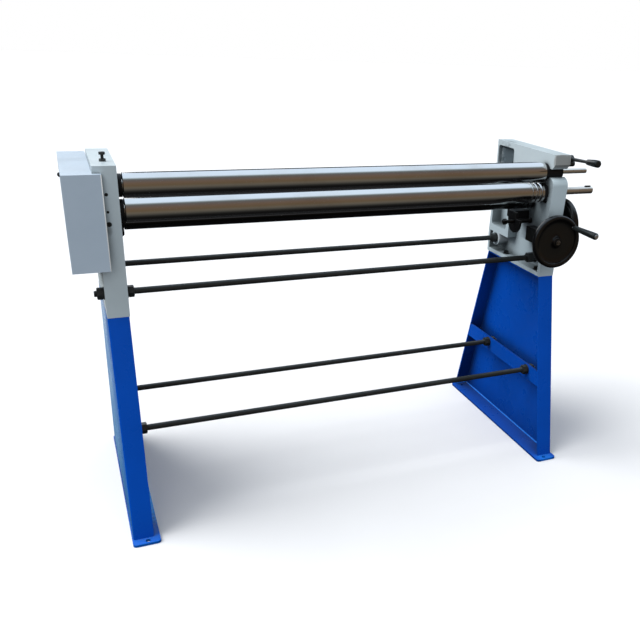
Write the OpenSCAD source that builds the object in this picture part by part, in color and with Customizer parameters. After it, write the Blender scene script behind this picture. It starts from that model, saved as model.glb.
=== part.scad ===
// Manual slip roll: three steel rolls between two cast end frames on folded-plate stands.
// X runs along the rolls, Y from the front to the back, Z up; the floor is z = 0.
// Sizes below are in machine coordinates; place() moves the origin under the middle of the machine.

/* [Rolls] */
// Working length of the rolls
roll_len = 1300; // [1100:10:1600]
// Diameter of the rolls
roll_d = 66; // [62:1:67]
// Gap between the top and the lower roll
nip_gap = 1; // [0.6:0.1:2]
// Height of the top roll's axis above the stands
roll_rise = 357; // [350:1:364]
// Depth position of the top and lower rolls' axes
roll_y = -187; // [-189:1:-185]
// Distance of the bending roll behind the lower roll
rear_back = 74; // [73:1:80]
// Drop of the bending roll's axis below the lower roll's axis
rear_drop = 36; // [30:1:40]
// Diameter of the journals in their bearings
journal_d = 30; // [26:1:32]
// Diameter of the top roll's free shaft end
top_shaft_d = 17; // [14:1:20]
// Diameter of the lower roll's keyed drive shaft end
drive_shaft_d = 24; // [20:1:25]
// Reach of the lower roll's drive end beyond the right end frame
drive_reach = 136; // [110:1:150]
// Number of wire grooves at the right end of the lower and the bending roll
groove_count = 3; // [2:1:4]

/* [Stands] */
// Height of the stands, up to the end frames
stand_h = 659; // [600:1:700]
// Width of a stand along the rolls
stand_w = 60; // [56:1:64]
// Thickness of the folded stand plate
stand_t = 6; // [5:0.5:8]
// Depth position of the stand's front at the top
stand_front_top = -210; // [-215:1:-200]
// Depth position of the stand's back at the top
stand_back_top = 150; // [145:1:160]
// Depth position of the stand's front at the foot
stand_front_foot = -319; // [-330:1:-300]
// Depth position of the stand's back at the foot
stand_back_foot = 350; // [300:1:352]
// Length of a foot plate from front to back
foot_len = 701; // [690:1:720]
// Thickness of a foot plate
foot_t = 8; // [6:1:12]
// Diameter of the anchor holes in the foot plates
anchor_d = 14; // [10:1:16]

/* [Tie rods] */
// Diameter of the tie rods
rod_d = 18; // [16:1:20]
// Height of the upper tie rods above the stands
upper_rod_rise = 62; // [58:1:70]
// Height of the lower tie rods
lower_rod_z = 300; // [250:1:350]
// Size of the tie rod nuts across their flats
nut_af = 30; // [28:1:32]

/* [End frames] */
// Width of a cast end frame along the rolls
cast_w = 58; // [56:1:60]
// Forward lean of the end frames' front, for each unit of height
front_lean = 0.088; // [0.07:0.002:0.1]
// Thickness of the end frames' base flange
base_t = 14; // [12:1:20]
// Thickness of the end frames' outer web
web_t = 20; // [16:1:22]
// Height of the release arm
arm_h = 48; // [44:1:56]
// Width of the slots that guide the bearing blocks
slot_w = 46; // [44:1:47]
// Stroke of the lower roll below its closed position
lower_stroke = 8; // [6:1:8]
// Stroke of the bending roll above its rest position
rear_up = 45; // [30:1:45]
// Stroke of the bending roll below its rest position
rear_down = 3; // [2:1:5]

/* [Handwheels] */
// Outside diameter of the handwheels
wheel_d = 175; // [160:1:180]
// Diameter of the handwheel shafts
wheel_shaft_d = 20; // [18:1:22]
// Length of the crank handle
handle_len = 124; // [100:1:130]

/* [Hidden] */
$fn = 48;

// Clearances
run_fit = 0.05;     // radial play of a journal in its bearing
slide_fit = 0.4;    // play on each side of a sliding block
face_gap = 2;       // gap between a roll's end and the bearing flange
swing_gap = 5;      // room between a turning gear and the sheet round it
cut = 1;            // how far a cutting shape runs past a surface

// Places along the rolls, given for the right end and mirrored for the left
roll_end = roll_len / 2;
cast_in = roll_end + 14;
cast_out = cast_in + cast_w;
web_in = cast_out - web_t;
stand_in = roll_end + 16;
stand_out = stand_in + stand_w;
foot_in = stand_in - 17;
strap_t = 8;

// Roll axes
top_roll_z = stand_h + roll_rise;
lower_roll_z = top_roll_z - roll_d - nip_gap;
rear_y = roll_y + rear_back;
rear_z = lower_roll_z - rear_drop;

// Foot plates
foot_back = stand_back_foot + 4;
foot_front = foot_back - foot_len;
anchor_x = stand_in + 18;
anchor_front_y = foot_front + 14;
anchor_back_y = foot_back - 34;

// Tie rods: heights and depth places
upper_rod_z = stand_h + upper_rod_rise;
upper_front_y = stand_front_top + 35;
upper_back_y = stand_back_top - 48;
lower_front_y = stand_front_top + 22;
lower_back_y = stand_back_top - 52;
rod_reach = 26;
nut_t = 16;
washer_d = 36;
washer_t = 3;
strap_high = lower_rod_z + 20;
strap_low = lower_rod_z - 36;

// Bearing blocks and the eccentric under the lower roll
block_h = 46;
flange_d = 61;
seat_d = 40;
cam_z = lower_roll_z - 113;
cam_r = 20;
cam_throw = lower_stroke / 2;
cam_gap = 1;
cam_t = 18;
cam_shaft_in = cast_in + 6;
cam_in = cast_in + web_t + 7;

// End frames
cast_back = stand_back_top + 8;
post_bottom = cam_z - 70;
post_top = top_roll_z - 14;
post_back = rear_y + slot_w / 2 + 24;
post_round = 28;
cast_top = top_roll_z + 61;
cast_top_back = cast_back - 112;
column_front = cast_back - 141;
wall_t = 12;
pocket_r = 10;
boss_d = 56;

// Release arm and its hinge
arm_front = stand_front_top - front_lean * (top_roll_z - stand_h) + 1;
arm_bottom = top_roll_z + 14;
arm_top = arm_bottom + arm_h;
arm_back = cast_back - 20;
arm_deep_front = arm_back - 236;
pin_d = 16;
pin_y = arm_back - 32;
pin_z = top_roll_z - 6;
ear_low = pin_z - 24;
column_top = pin_z - 50;
tongue_in = cast_in + 19;
tongue_t = 20;
bearing_d = 56;

// Clamp on the release arm
clamp_y = arm_front + 22;
clamp_z = arm_bottom + 32;
clamp_x = cast_out + 11;
clamp_shaft_d = 14;
clamp_hub_d = 26;
clamp_tilt = 94;
lever_len = 82;
grip_len = 62;

// Gears
gear_teeth = 20;
gear_module = (top_roll_z - lower_roll_z) / gear_teeth;
gear_pitch_r = gear_module * gear_teeth / 2;
gear_outer_r = gear_pitch_r + 0.7 * gear_module;
gear_root_r = gear_pitch_r - gear_module;
gear_x0 = -cast_out - 54;
gear_x1 = gear_x0 + 26;
gear_shaft_d = 26;

// Gear cover
cover_t = 1.5;
cover_out = -cast_out - 73;
cover_lip = -cast_out + 20;
cover_front = arm_front - 22;
cover_back = cover_front + 388;
cover_bottom = stand_h + 147;
cover_top = top_roll_z + gear_outer_r + swing_gap + cover_t;
screw_reach = 6;

// Handwheels
front_wheel_x = cast_in - 14;
front_wheel_z = cam_z - 26;
front_wheel_face = arm_front - 80;
wheel_t = 22;
handle_r = wheel_d / 2 - 13.5;
handle_angle = 38;
handle_d = 22;
handle_bolt_d = 10;
handle_x = front_wheel_x + handle_r * cos(handle_angle);
handle_z = front_wheel_z + handle_r * sin(handle_angle);
side_wheel_x = cast_out + 42;

// Lift of the bending roll
lift_x = cast_in + 17;
lift_screw_d = 16;
lift_top = rear_z - roll_d / 2 - rear_down - 6;
lift_screw_low = lift_top - rear_up - 8;
lift_low = lift_top - 28;
lift_in = cast_in - 60;
cheek_r = 40;
cheek_t = 8;
stay_d = 12;
collar_d = 22;
stay_y = rear_y - 12;
stay_z = lift_top - 32;
stay_in = lift_in - 52;

// Extents of the whole machine, which set the origin
x_left = cover_out - screw_reach;
x_right = cast_out + drive_reach;
y_front = front_wheel_face - handle_len;
y_back = foot_back;

module place() translate([-(x_left + x_right) / 2, -(y_front + y_back) / 2, 0]) children();

// Box between two opposite corners
module slab(low, high) translate(low) cube(high - low);

// Round bar along X
module x_bar(d, x0, x1, y, z) translate([x0, y, z]) rotate([0, 90, 0]) cylinder(d = d, h = x1 - x0);

// Round bar along Y
module y_bar(d, y0, y1, x, z) translate([x, y1, z]) rotate([90, 0, 0]) cylinder(d = d, h = y1 - y0);

// Plate with its outline in the YZ plane
module yz_plate(points, x0, x1)
    translate([x0, 0, 0]) rotate([90, 0, 90]) linear_extrude(x1 - x0) polygon(points);

// Hexagon nut or bolt head along X
module x_hex(af, x0, x1, y, z)
    translate([x0, y, z]) rotate([0, 90, 0]) cylinder(d = af / cos(30), h = x1 - x0, $fn = 6);

// Cutter through X with rounded corners
module x_pocket(low, high, r) {
    slab(low + [0, r, 0], high - [0, r, 0]);
    slab(low + [0, 0, r], high - [0, 0, r]);
    for (y = [low[1] + r, high[1] - r]) for (z = [low[2] + r, high[2] - r])
        x_bar(2 * r, low[0], high[0], y, z);
}

// Points of an arc from one angle to another
function arc(centre, r, from, to) =
    [for (i = [0 : 6]) centre + r * [cos(from + (to - from) * i / 6), sin(from + (to - from) * i / 6)]];

// Depth of the end frames' leaning front at a height
function front_at(z) = stand_front_top - front_lean * (z - stand_h);

// What is built at the right end, mirrored to the left end
module at_left() mirror([1, 0, 0]) children();

// ---- Stands ----

// Folded channel, open towards the rolls' middle, wider at its foot
module stand_channel() {
    front = [[stand_front_foot, foot_t], [stand_front_top, stand_h]];
    back = [[stand_back_foot, foot_t], [stand_back_top, stand_h]];
    yz_plate([front[0], front[1], back[1], back[0]], stand_out - stand_t, stand_out);
    yz_plate([front[0], front[1], front[1] + [stand_t, 0], front[0] + [stand_t, 0]], stand_in, stand_out);
    yz_plate([back[0], back[1], back[1] - [stand_t, 0], back[0] - [stand_t, 0]], stand_in, stand_out);
    slab([stand_in, stand_front_top, stand_h - stand_t], [stand_out, stand_back_top, stand_h]);
}

module foot_plate() {
    r = 10;
    difference() {
        union() {
            slab([foot_in + r, foot_front, 0], [stand_out - r, foot_back, foot_t]);
            slab([foot_in, foot_front + r, 0], [stand_out, foot_back - r, foot_t]);
            for (x = [foot_in + r, stand_out - r]) for (y = [foot_front + r, foot_back - r])
                translate([x, y, 0]) cylinder(r = r, h = foot_t);
        }
        for (y = [anchor_front_y, anchor_back_y])
            translate([anchor_x, y, -1]) cylinder(d = anchor_d, h = foot_t + 2);
    }
}

// Flat bar across the open side of the channel
module strap() {
    run = stand_h - foot_t;
    lean_front = (stand_front_top - stand_front_foot) / run;
    lean_back = (stand_back_top - stand_back_foot) / run;
    outline = [
        [stand_front_foot + lean_front * (strap_low - foot_t), strap_low],
        [stand_front_foot + lean_front * (strap_high - foot_t), strap_high],
        [stand_back_foot + lean_back * (strap_high - foot_t), strap_high],
        [stand_back_foot + lean_back * (strap_low - foot_t), strap_low],
    ];
    difference() {
        yz_plate(outline, stand_in - strap_t, stand_in);
        for (y = [lower_front_y, lower_back_y])
            x_bar(rod_d, stand_in - strap_t - cut, stand_in + cut, y, lower_rod_z);
    }
}

module left_stand() color("royalblue") place() at_left() stand_channel();
module left_foot_plate() color("royalblue") place() at_left() foot_plate();
module left_strap() color("royalblue") place() at_left() strap();
module right_stand() color("royalblue") place() stand_channel();
module right_foot_plate() color("royalblue") place() foot_plate();
module right_strap() color("royalblue") place() strap();

// ---- End frames ----

// Slots in which the bearing blocks of the two lower rolls slide
module bearing_slots() {
    half = slot_w / 2 + slide_fit;
    slab([cast_in - cut, roll_y - half, lower_roll_z - block_h / 2 - lower_stroke - 2],
         [cast_out + cut, roll_y + half, lower_roll_z + block_h / 2 + slide_fit]);
    slab([cast_in - cut, rear_y - half, rear_z - block_h / 2 - rear_down - 2],
         [cast_out + cut, rear_y + half, rear_z + block_h / 2 + rear_up + 1]);
}

// Base flange, outer web, front rib and tie rod bosses, common to both end frames
module frame_base() {
    slab([cast_in, stand_front_top, stand_h], [cast_out, cast_back, stand_h + base_t]);
    yz_plate([[stand_front_top, stand_h], [front_at(post_bottom), post_bottom],
              [cast_back, post_bottom], [cast_back, stand_h]], web_in, cast_out);
    yz_plate([[stand_front_top, stand_h], [front_at(post_bottom), post_bottom],
              [front_at(post_bottom) + 30, post_bottom], [stand_front_top + wall_t, stand_h + 40],
              [stand_front_top + wall_t, stand_h]], cast_in, cast_out);
    x_bar(boss_d, cast_in, cast_out, upper_back_y, upper_rod_z);
    x_bar(nut_af * 1.5, cast_in, cast_out, upper_front_y, upper_rod_z);
}

// Chamber of the lifting cam, open to the outside, with the blind bore of its shaft
module cam_chamber() {
    slab([cast_in + web_t, roll_y - cam_r - 8, cam_z - cam_r - 6],
         [cast_out + cut, roll_y + cam_r + 8, lower_roll_z]);
    x_bar(wheel_shaft_d + 2 * run_fit, cam_shaft_in - cut, cast_out + cut, roll_y, cam_z);
}

// Holes for the tie rods through an end frame
module rod_holes() {
    for (y = [upper_front_y, upper_back_y])
        x_bar(rod_d, cast_in - cut, cast_out + cut, y, upper_rod_z);
}

// Oil and set screw holes in the left end frame's front: height above the cam's axis and diameter
module front_holes() {
    for (hole = [[167, 9], [121, 7], [88, 13]])
        translate([cast_in + 30, front_at(cam_z + hole[0]) + 12, cam_z + hole[0]])
            rotate([90, 0, 0]) cylinder(d = hole[1], h = 30);
}

module left_end_frame() {
    color("gainsboro") place() at_left() difference() {
        union() {
            frame_base();
            yz_plate([[front_at(post_bottom), post_bottom], [front_at(cast_top), cast_top],
                      [post_back, cast_top], [post_back, post_bottom]], cast_in, cast_out);
            yz_plate([[post_back, post_bottom], [post_back, cast_top], [cast_top_back, cast_top],
                      [cast_back, post_bottom]], web_in, cast_out);
            yz_plate([[post_back, cast_top - wall_t], [post_back, cast_top], [cast_top_back, cast_top],
                      [cast_back, post_bottom], [cast_back, stand_h], [cast_back - wall_t, stand_h],
                      [cast_back - wall_t, post_bottom], [cast_top_back - wall_t, cast_top - wall_t]],
                     cast_in, cast_out);
        }
        bearing_slots();
        rod_holes();
        front_holes();
        x_bar(seat_d, cast_in - cut, cast_out + cut, roll_y, top_roll_z);
    }
}

module right_end_frame() {
    tongue_out = tongue_in + tongue_t;
    post_front = front_at(post_top);
    column_low = upper_rod_z + 20;
    column_wall = 20;
    color("gainsboro") place() difference() {
        union() {
            frame_base();
            yz_plate(concat([[front_at(post_bottom), post_bottom]],
                            arc([post_front + post_round, post_top - post_round], post_round, 175, 90),
                            [[post_back, post_top], [post_back, post_bottom]]), cast_in, cast_out);
            yz_plate([[column_front, column_low], [column_front, column_top], [arm_back, column_top],
                      [cast_back, column_low], [cast_back, stand_h], [cast_back - wall_t, stand_h],
                      [cast_back - wall_t, column_low]], cast_in, cast_out);
            slab([web_in, column_front, post_bottom - cut], [cast_out, cast_back - wall_t, column_top]);
            slab([web_in, post_back - cut, post_bottom - cut], [cast_out, column_front + cut, rear_z]);
            slab([tongue_in, pin_y - 18, column_top - cut], [tongue_out, pin_y + 18, pin_z]);
            x_bar(36, tongue_in, tongue_out, pin_y, pin_z);
        }
        bearing_slots();
        rod_holes();
        cam_chamber();
        translate([lift_x, rear_y, lift_screw_low - rear_down - 6])
            cylinder(d = lift_screw_d + 2 * slide_fit, h = rear_z - lift_screw_low);
        x_pocket([cast_in - cut, column_front + column_wall, column_low + 24],
                 [web_in, cast_back - wall_t - 6, column_top - wall_t], pocket_r);
        x_bar(bearing_d, cast_in - cut, cast_out + cut, roll_y, top_roll_z);
        x_bar(pin_d, tongue_in - cut, tongue_out + cut, pin_y, pin_z);
    }
}

// Hexagon bolts that hold the end frames to the stands
module end_frame_bolts() {
    head_af = 17;
    color("dimgray") place() for (side = [-1, 1]) for (y = [stand_front_top + 44, upper_back_y - 58])
        translate([side * (cast_in + 16), y, stand_h + base_t]) {
            cylinder(d = 24, h = 2);
            cylinder(d = head_af / cos(30), h = 11, $fn = 6);
        }
}

module arm_hinge_pin() color("dimgray") place() x_bar(pin_d, tongue_in - 5, cast_out, pin_y, pin_z);

// Short bearing with a flange on the roll's side
module top_left_bush() {
    color("black") place() at_left() difference() {
        union() {
            x_bar(seat_d, cast_in, cast_out, roll_y, top_roll_z);
            x_bar(flange_d, roll_end + face_gap, cast_in, roll_y, top_roll_z);
        }
        x_bar(journal_d + 2 * run_fit, roll_end, cast_out + cut, roll_y, top_roll_z);
    }
}

// Bush held between the right end frame's post and the release arm
module top_right_bearing() {
    color("black") place() difference() {
        x_bar(bearing_d, roll_end + face_gap, cast_out - 6, roll_y, top_roll_z);
        x_bar(journal_d + 2 * run_fit, roll_end, cast_out + cut, roll_y, top_roll_z);
    }
}

// ---- Gear cover ----

// Sheet box over the gears that wraps the end frame's front edge
module gear_cover() {
    inner = -cast_out;
    lip_back = front_at(cover_top);
    color("gainsboro") place() difference() {
        union() {
            slab([cover_out, cover_front, cover_bottom], [inner, cover_back, cover_top]);
            slab([inner - cut, cover_front, cover_bottom], [cover_lip, lip_back, cover_top]);
        }
        slab([cover_out + cover_t, cover_front + cover_t, cover_bottom + cover_t],
             [inner - cover_t, cover_back - cover_t, cover_top - cover_t]);
        slab([inner - cover_t - cut, cover_front + cover_t, cover_bottom + cover_t],
             [cover_lip - cover_t, lip_back + cut, cover_top - cover_t]);
        slab([inner - cover_t - cut, roll_y - 36, cover_bottom + 20],
             [inner + cut, rear_y + 30, cover_top - 16]);
    }
}

module cover_screw() color("black") place()
    x_bar(12, cover_out - screw_reach, cover_out, cover_front + 105, cover_top - 16);

// Set bolt with its lock nut on top of the left end frame
module top_adjusting_bolt() {
    color("black") place() translate([-(cast_in + cast_w / 2 - 2), roll_y + 12, cast_top]) {
        cylinder(d = 10, h = 24);
        cylinder(d = 22, h = 8, $fn = 6);
        translate([0, 0, 16]) cylinder(d = 19, h = 8, $fn = 6);
    }
}

// ---- Tie rods ----

module upper_rod(y) x_bar(rod_d, -(cast_out + rod_reach), cast_out + rod_reach, y, upper_rod_z);
module lower_rod(y) x_bar(rod_d, -(stand_in + rod_reach), stand_in + rod_reach, y, lower_rod_z);

module upper_front_tie_rod() color("black") place() upper_rod(upper_front_y);
module upper_back_tie_rod() color("black") place() upper_rod(upper_back_y);
module lower_front_tie_rod() color("black") place() lower_rod(lower_front_y);
module lower_back_tie_rod() color("black") place() lower_rod(lower_back_y);

// Nut with its washer on a tie rod, seated at x0 and standing off in the direction dir
module rod_nut(x0, dir, y, z, t = nut_t) difference() {
    translate([x0, 0, 0]) mirror([dir < 0 ? 1 : 0, 0, 0]) {
        x_bar(washer_d, 0, washer_t, y, z);
        x_hex(nut_af, washer_t, washer_t + t, y, z);
    }
    x_bar(rod_d, x0 - t - washer_t - cut, x0 + t + washer_t + cut, y, z);
}

module tie_rod_nuts() {
    color("black") place() for (side = [0, 1]) mirror([side, 0, 0]) {
        rod_nut(cast_in, -1, upper_front_y, upper_rod_z, side == 0 ? 2 * nut_t : nut_t);
        rod_nut(cast_in, -1, upper_back_y, upper_rod_z);
        for (y = [upper_front_y, upper_back_y]) rod_nut(cast_out, 1, y, upper_rod_z);
        for (y = [lower_front_y, lower_back_y]) {
            rod_nut(stand_in - strap_t, -1, y, lower_rod_z);
            rod_nut(stand_in, 1, y, lower_rod_z);
        }
    }
}

// ---- Rolls ----

// Roll body with journals at both ends
module roll_body(y, z, left_reach, right_reach) {
    x_bar(roll_d, -roll_end, roll_end, y, z);
    x_bar(journal_d, -left_reach, right_reach, y, z);
}

// Half-round grooves for rolling wired edges
module wire_grooves(y, z) {
    groove_r = [5, 4, 3, 2];
    for (i = [0 : groove_count - 1])
        translate([roll_end - 14 - 17 * i, y, z]) rotate([0, 90, 0])
            rotate_extrude() translate([roll_d / 2, 0]) circle(r = groove_r[i]);
}

module top_roll() {
    color("silver") place() {
        roll_body(roll_y, top_roll_z, cast_out, cast_out);
        x_bar(gear_shaft_d, gear_x0 - 4, -cast_out, roll_y, top_roll_z);
        x_bar(top_shaft_d, cast_out, x_right - 33, roll_y, top_roll_z);
    }
}

module lower_roll() {
    key_w = 8;
    color("silver") place() difference() {
        union() {
            roll_body(roll_y, lower_roll_z, cast_out, cast_out);
            x_bar(gear_shaft_d, gear_x0 - 4, -cast_out, roll_y, lower_roll_z);
            x_bar(drive_shaft_d, cast_out, x_right, roll_y, lower_roll_z);
        }
        wire_grooves(roll_y, lower_roll_z);
        slab([x_right - 34, roll_y - key_w / 2, lower_roll_z + drive_shaft_d / 2 - 4],
             [x_right - 4, roll_y + key_w / 2, lower_roll_z + drive_shaft_d]);
    }
}

module rear_roll() {
    color("silver") place() difference() {
        roll_body(rear_y, rear_z, cast_out - 4, cast_out - 4);
        wire_grooves(rear_y, rear_z);
    }
}

// Spur gear outline: straight-flanked teeth with a little backlash
module gear_outline(turn) {
    step = 360 / gear_teeth;
    rotate(turn) polygon([for (i = [0 : gear_teeth - 1]) each [
        for (p = [[-0.34, gear_root_r], [-0.225, gear_pitch_r], [-0.135, gear_outer_r],
                  [0.135, gear_outer_r], [0.225, gear_pitch_r], [0.34, gear_root_r]])
            p[1] * [cos((i + p[0]) * step), sin((i + p[0]) * step)]
    ]]);
}

// Gear keyed on the left end of a roll; turn sets the teeth in mesh
module roll_gear(z, turn) difference() {
    translate([gear_x0, roll_y, z]) rotate([90, 0, 90]) linear_extrude(gear_x1 - gear_x0) gear_outline(turn);
    x_bar(gear_shaft_d, gear_x0 - 1, gear_x1 + 1, roll_y, z);
}

module top_roll_gear() color("dimgray") place() roll_gear(top_roll_z, -90);
module lower_roll_gear() color("dimgray") place() roll_gear(lower_roll_z, 90 + 180 / gear_teeth);

// ---- Sliding bearings ----

// Bearing block in its slot, with a round flange on the roll's side
module bearing_block(y, z) difference() {
    union() {
        slab([cast_in, y - slot_w / 2, z - block_h / 2], [cast_out, y + slot_w / 2, z + block_h / 2]);
        x_bar(flange_d, roll_end + face_gap, cast_in, y, z);
    }
    x_bar(journal_d + 2 * run_fit, roll_end, cast_out + 1, y, z);
}

module lower_bearing_blocks() {
    foot_bottom = cam_z + cam_r + cam_throw + cam_gap;
    color("black") place() {
        bearing_block(roll_y, lower_roll_z);
        at_left() bearing_block(roll_y, lower_roll_z);
        slab([cast_in + web_t + 4, roll_y - 14, foot_bottom],
             [cast_out - 6, roll_y + 14, lower_roll_z - block_h / 2]);
    }
}

module rear_bearing_blocks() {
    color("black") place() {
        bearing_block(rear_y, rear_z);
        at_left() bearing_block(rear_y, rear_z);
    }
}

// Screw that carries the bending roll's right bearing
module rear_lift_screw() {
    color("dimgray") place() translate([lift_x, rear_y, lift_screw_low])
        cylinder(d = lift_screw_d, h = rear_z - block_h / 2 - lift_screw_low);
}

// Box of the lifting gear below the bending roll, with a half-round cheek on its inner side
module lift_housing() {
    cheek_step = stay_y - 15;
    color("black") place() difference() {
        union() {
            slab([lift_in, stay_y + collar_d / 2 + 1, lift_low], [cast_in, rear_y + slot_w / 2 + 27, lift_top]);
            yz_plate(concat([[cheek_step, stay_z + 10], [stay_y - cheek_r, stay_z + 10], [stay_y - cheek_r, stay_z]],
                            arc([stay_y, stay_z], cheek_r, 180, 360),
                            [[stay_y + cheek_r, lift_top], [cheek_step, lift_top]]), lift_in - cheek_t, lift_in);
        }
        x_bar(stay_d, lift_in - cheek_t - cut, lift_in + cut, stay_y, stay_z);
    }
}

// Stay bolt between the lift housing's cheek and the right end frame
module lift_stay_bolt() {
    nut_high = 10;
    color("dimgray") place() {
        x_bar(stay_d, stay_in, lift_in + cut, stay_y, stay_z);
        x_hex(19, stay_in + 4, stay_in + 4 + nut_high, stay_y, stay_z);
        x_bar(17, lift_in, cast_in - 8, stay_y, stay_z);
        x_bar(collar_d, cast_in - 8, cast_in, stay_y, stay_z);
    }
}

// Gear box of the front handwheel, on the right end frame's inner side
module front_gear_box() {
    front = stand_front_top - 16;
    back = rear_y - 37;
    color("black") place() difference() {
        slab([front_wheel_x - 17, front, front_wheel_z - 32], [cast_in, back, front_wheel_z + 17]);
        y_bar(wheel_shaft_d + 2 * run_fit, front - cut, back - 10, front_wheel_x, front_wheel_z);
    }
}

// ---- Release arm ----

module release_arm() {
    seat_fit = 0.3;
    chamfer = 16;
    outline = [
        [arm_front, arm_bottom + chamfer], [arm_front, arm_top], [arm_back, arm_top],
        [arm_back, ear_low], [arm_back - 68, ear_low], [arm_back - 90, arm_bottom - 18],
        [arm_deep_front, arm_bottom - 18], [arm_deep_front - 18, arm_bottom],
        [arm_front + chamfer, arm_bottom],
    ];
    color("gainsboro") place() difference() {
        yz_plate(outline, cast_in, cast_out);
        slab([tongue_in - 0.5, pin_y - 60, ear_low - cut],
             [tongue_in + tongue_t + 0.5, arm_back + cut, pin_z + 26]);
        x_pocket([cast_in - cut, arm_back - 116, ear_low - 2 * pocket_r],
                 [tongue_in - 6, arm_back - 8, arm_top - 18], pocket_r);
        x_bar(bearing_d + 2 * seat_fit, cast_in - cut, cast_out + cut, roll_y, top_roll_z);
        x_bar(pin_d + 2 * run_fit, cast_in - cut, cast_out + cut, pin_y, pin_z);
        x_bar(clamp_shaft_d + 2 * run_fit, cast_in + 20, cast_out + cut, clamp_y, clamp_z);
    }
}

module clamp_shaft() {
    color("black") place() {
        x_bar(clamp_shaft_d, cast_in + 21, cast_out + cut, clamp_y, clamp_z);
        x_bar(clamp_hub_d, cast_out + 0.5, clamp_x + 9, clamp_y, clamp_z);
    }
}

// Places a piece along the clamp lever, which points to the front and slightly up
module on_lever() translate([clamp_x, clamp_y, clamp_z]) rotate([clamp_tilt, 0, 0]) children();

module clamp_lever() color("black") place() on_lever()
    translate([0, 0, clamp_hub_d / 2 + 0.1]) cylinder(d = 11, h = lever_len);

module clamp_grip() color("black") place() on_lever()
    translate([0, 0, clamp_hub_d / 2 + 0.1 + lever_len]) cylinder(d1 = 20, d2 = 26, h = grip_len);

// ---- Handwheels ----

// Dished solid handwheel about local Z, its open face towards +Z
module wheel_disc(bore_d) {
    wheel_r = wheel_d / 2;
    rim_w = 16;
    hub_r = 19;
    web_low = 3;
    web_high = 10;
    outline = concat(
        [[bore_d / 2, 0], [hub_r, 0], [hub_r + 4, web_low], [wheel_r - rim_w - 4, web_low]],
        arc([wheel_r - 5, 5], 5, -90, 0),
        arc([wheel_r - 8, wheel_t - 8], 8, 0, 180),
        [[wheel_r - rim_w - 4, web_high], [hub_r + 5, web_high], [hub_r, wheel_t], [bore_d / 2, wheel_t]]
    );
    rotate_extrude() polygon(outline);
}

module front_wheel() {
    color("black") place() difference() {
        translate([front_wheel_x, front_wheel_face + wheel_t, front_wheel_z]) rotate([90, 0, 0])
            wheel_disc(wheel_shaft_d);
        y_bar(handle_bolt_d, front_wheel_face - cut, front_wheel_face + wheel_t + cut, handle_x, handle_z);
    }
}

module front_wheel_shaft() color("dimgray") place()
    y_bar(wheel_shaft_d, front_wheel_face - 2, rear_y - 48, front_wheel_x, front_wheel_z);

// Bolt on which the crank handle turns
module handle_bolt() {
    color("silver") place() {
        y_bar(handle_bolt_d, y_front + 3, front_wheel_face + wheel_t - 3, handle_x, handle_z);
        y_bar(14, y_front, y_front + 3, handle_x, handle_z);
    }
}

module crank_handle() {
    color("black") place() difference() {
        y_bar(handle_d, y_front + 4, front_wheel_face - 1, handle_x, handle_z);
        y_bar(handle_bolt_d + 2 * run_fit, y_front, front_wheel_face, handle_x, handle_z);
    }
}

module side_wheel() {
    color("black") place() translate([side_wheel_x - wheel_t, roll_y, cam_z]) rotate([0, 90, 0])
        wheel_disc(wheel_shaft_d);
}

// Shaft of the side handwheel, with the eccentric that lifts the lower roll
module cam_shaft() {
    color("dimgray") place() {
        x_bar(wheel_shaft_d, cam_shaft_in, side_wheel_x, roll_y, cam_z);
        x_bar(2 * cam_r, cam_in, cam_in + cam_t, roll_y, cam_z + cam_throw);
    }
}

left_stand();
left_foot_plate();
left_strap();
right_stand();
right_foot_plate();
right_strap();
left_end_frame();
right_end_frame();
end_frame_bolts();
gear_cover();
cover_screw();
top_adjusting_bolt();
upper_front_tie_rod();
upper_back_tie_rod();
lower_front_tie_rod();
lower_back_tie_rod();
tie_rod_nuts();
top_left_bush();
top_right_bearing();
lift_housing();
lift_stay_bolt();
front_gear_box();
arm_hinge_pin();
top_roll();
top_roll_gear();
lower_bearing_blocks();
lower_roll();
lower_roll_gear();
rear_bearing_blocks();
rear_lift_screw();
rear_roll();
release_arm();
clamp_shaft();
clamp_lever();
clamp_grip();
side_wheel();
cam_shaft();
front_wheel();
front_wheel_shaft();
handle_bolt();
crank_handle();
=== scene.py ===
"""Looks of a manual slip roll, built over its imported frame.

Each sub-assembly of the machine is a class. Its fields are its sizes in metres, and its build
method dresses the frame's nodes or puts finer pieces in their place.
"""

import logging
import math
import random
from dataclasses import dataclass, replace
from enum import Enum
from functools import reduce
from typing import ClassVar, Iterable, Optional, Sequence

import bmesh
import bpy
from mathutils import Matrix, Vector
from mathutils.bvhtree import BVHTree


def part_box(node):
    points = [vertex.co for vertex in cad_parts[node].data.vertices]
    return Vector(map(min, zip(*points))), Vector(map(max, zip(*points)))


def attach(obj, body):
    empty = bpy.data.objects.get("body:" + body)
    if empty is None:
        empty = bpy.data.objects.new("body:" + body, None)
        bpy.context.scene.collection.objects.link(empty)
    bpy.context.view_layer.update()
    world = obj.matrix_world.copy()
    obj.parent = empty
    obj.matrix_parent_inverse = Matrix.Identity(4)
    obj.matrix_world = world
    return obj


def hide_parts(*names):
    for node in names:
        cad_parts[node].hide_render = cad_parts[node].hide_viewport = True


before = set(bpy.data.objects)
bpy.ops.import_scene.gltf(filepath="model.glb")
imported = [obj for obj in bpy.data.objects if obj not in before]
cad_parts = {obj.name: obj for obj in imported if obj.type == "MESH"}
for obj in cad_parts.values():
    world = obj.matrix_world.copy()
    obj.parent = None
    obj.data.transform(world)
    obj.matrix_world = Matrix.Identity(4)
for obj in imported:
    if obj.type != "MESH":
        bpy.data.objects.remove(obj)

LOG = logging.getLogger("slip_roll")

# How far the straps sit behind the free edges of the stands' channels.
STRAP_INSET = 0.008

# Points closer than this are one point, in a new mesh and in a mesh of the frame.
SAME_POINT = 1e-7
SAME_FRAME_POINT = 1e-5

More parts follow.
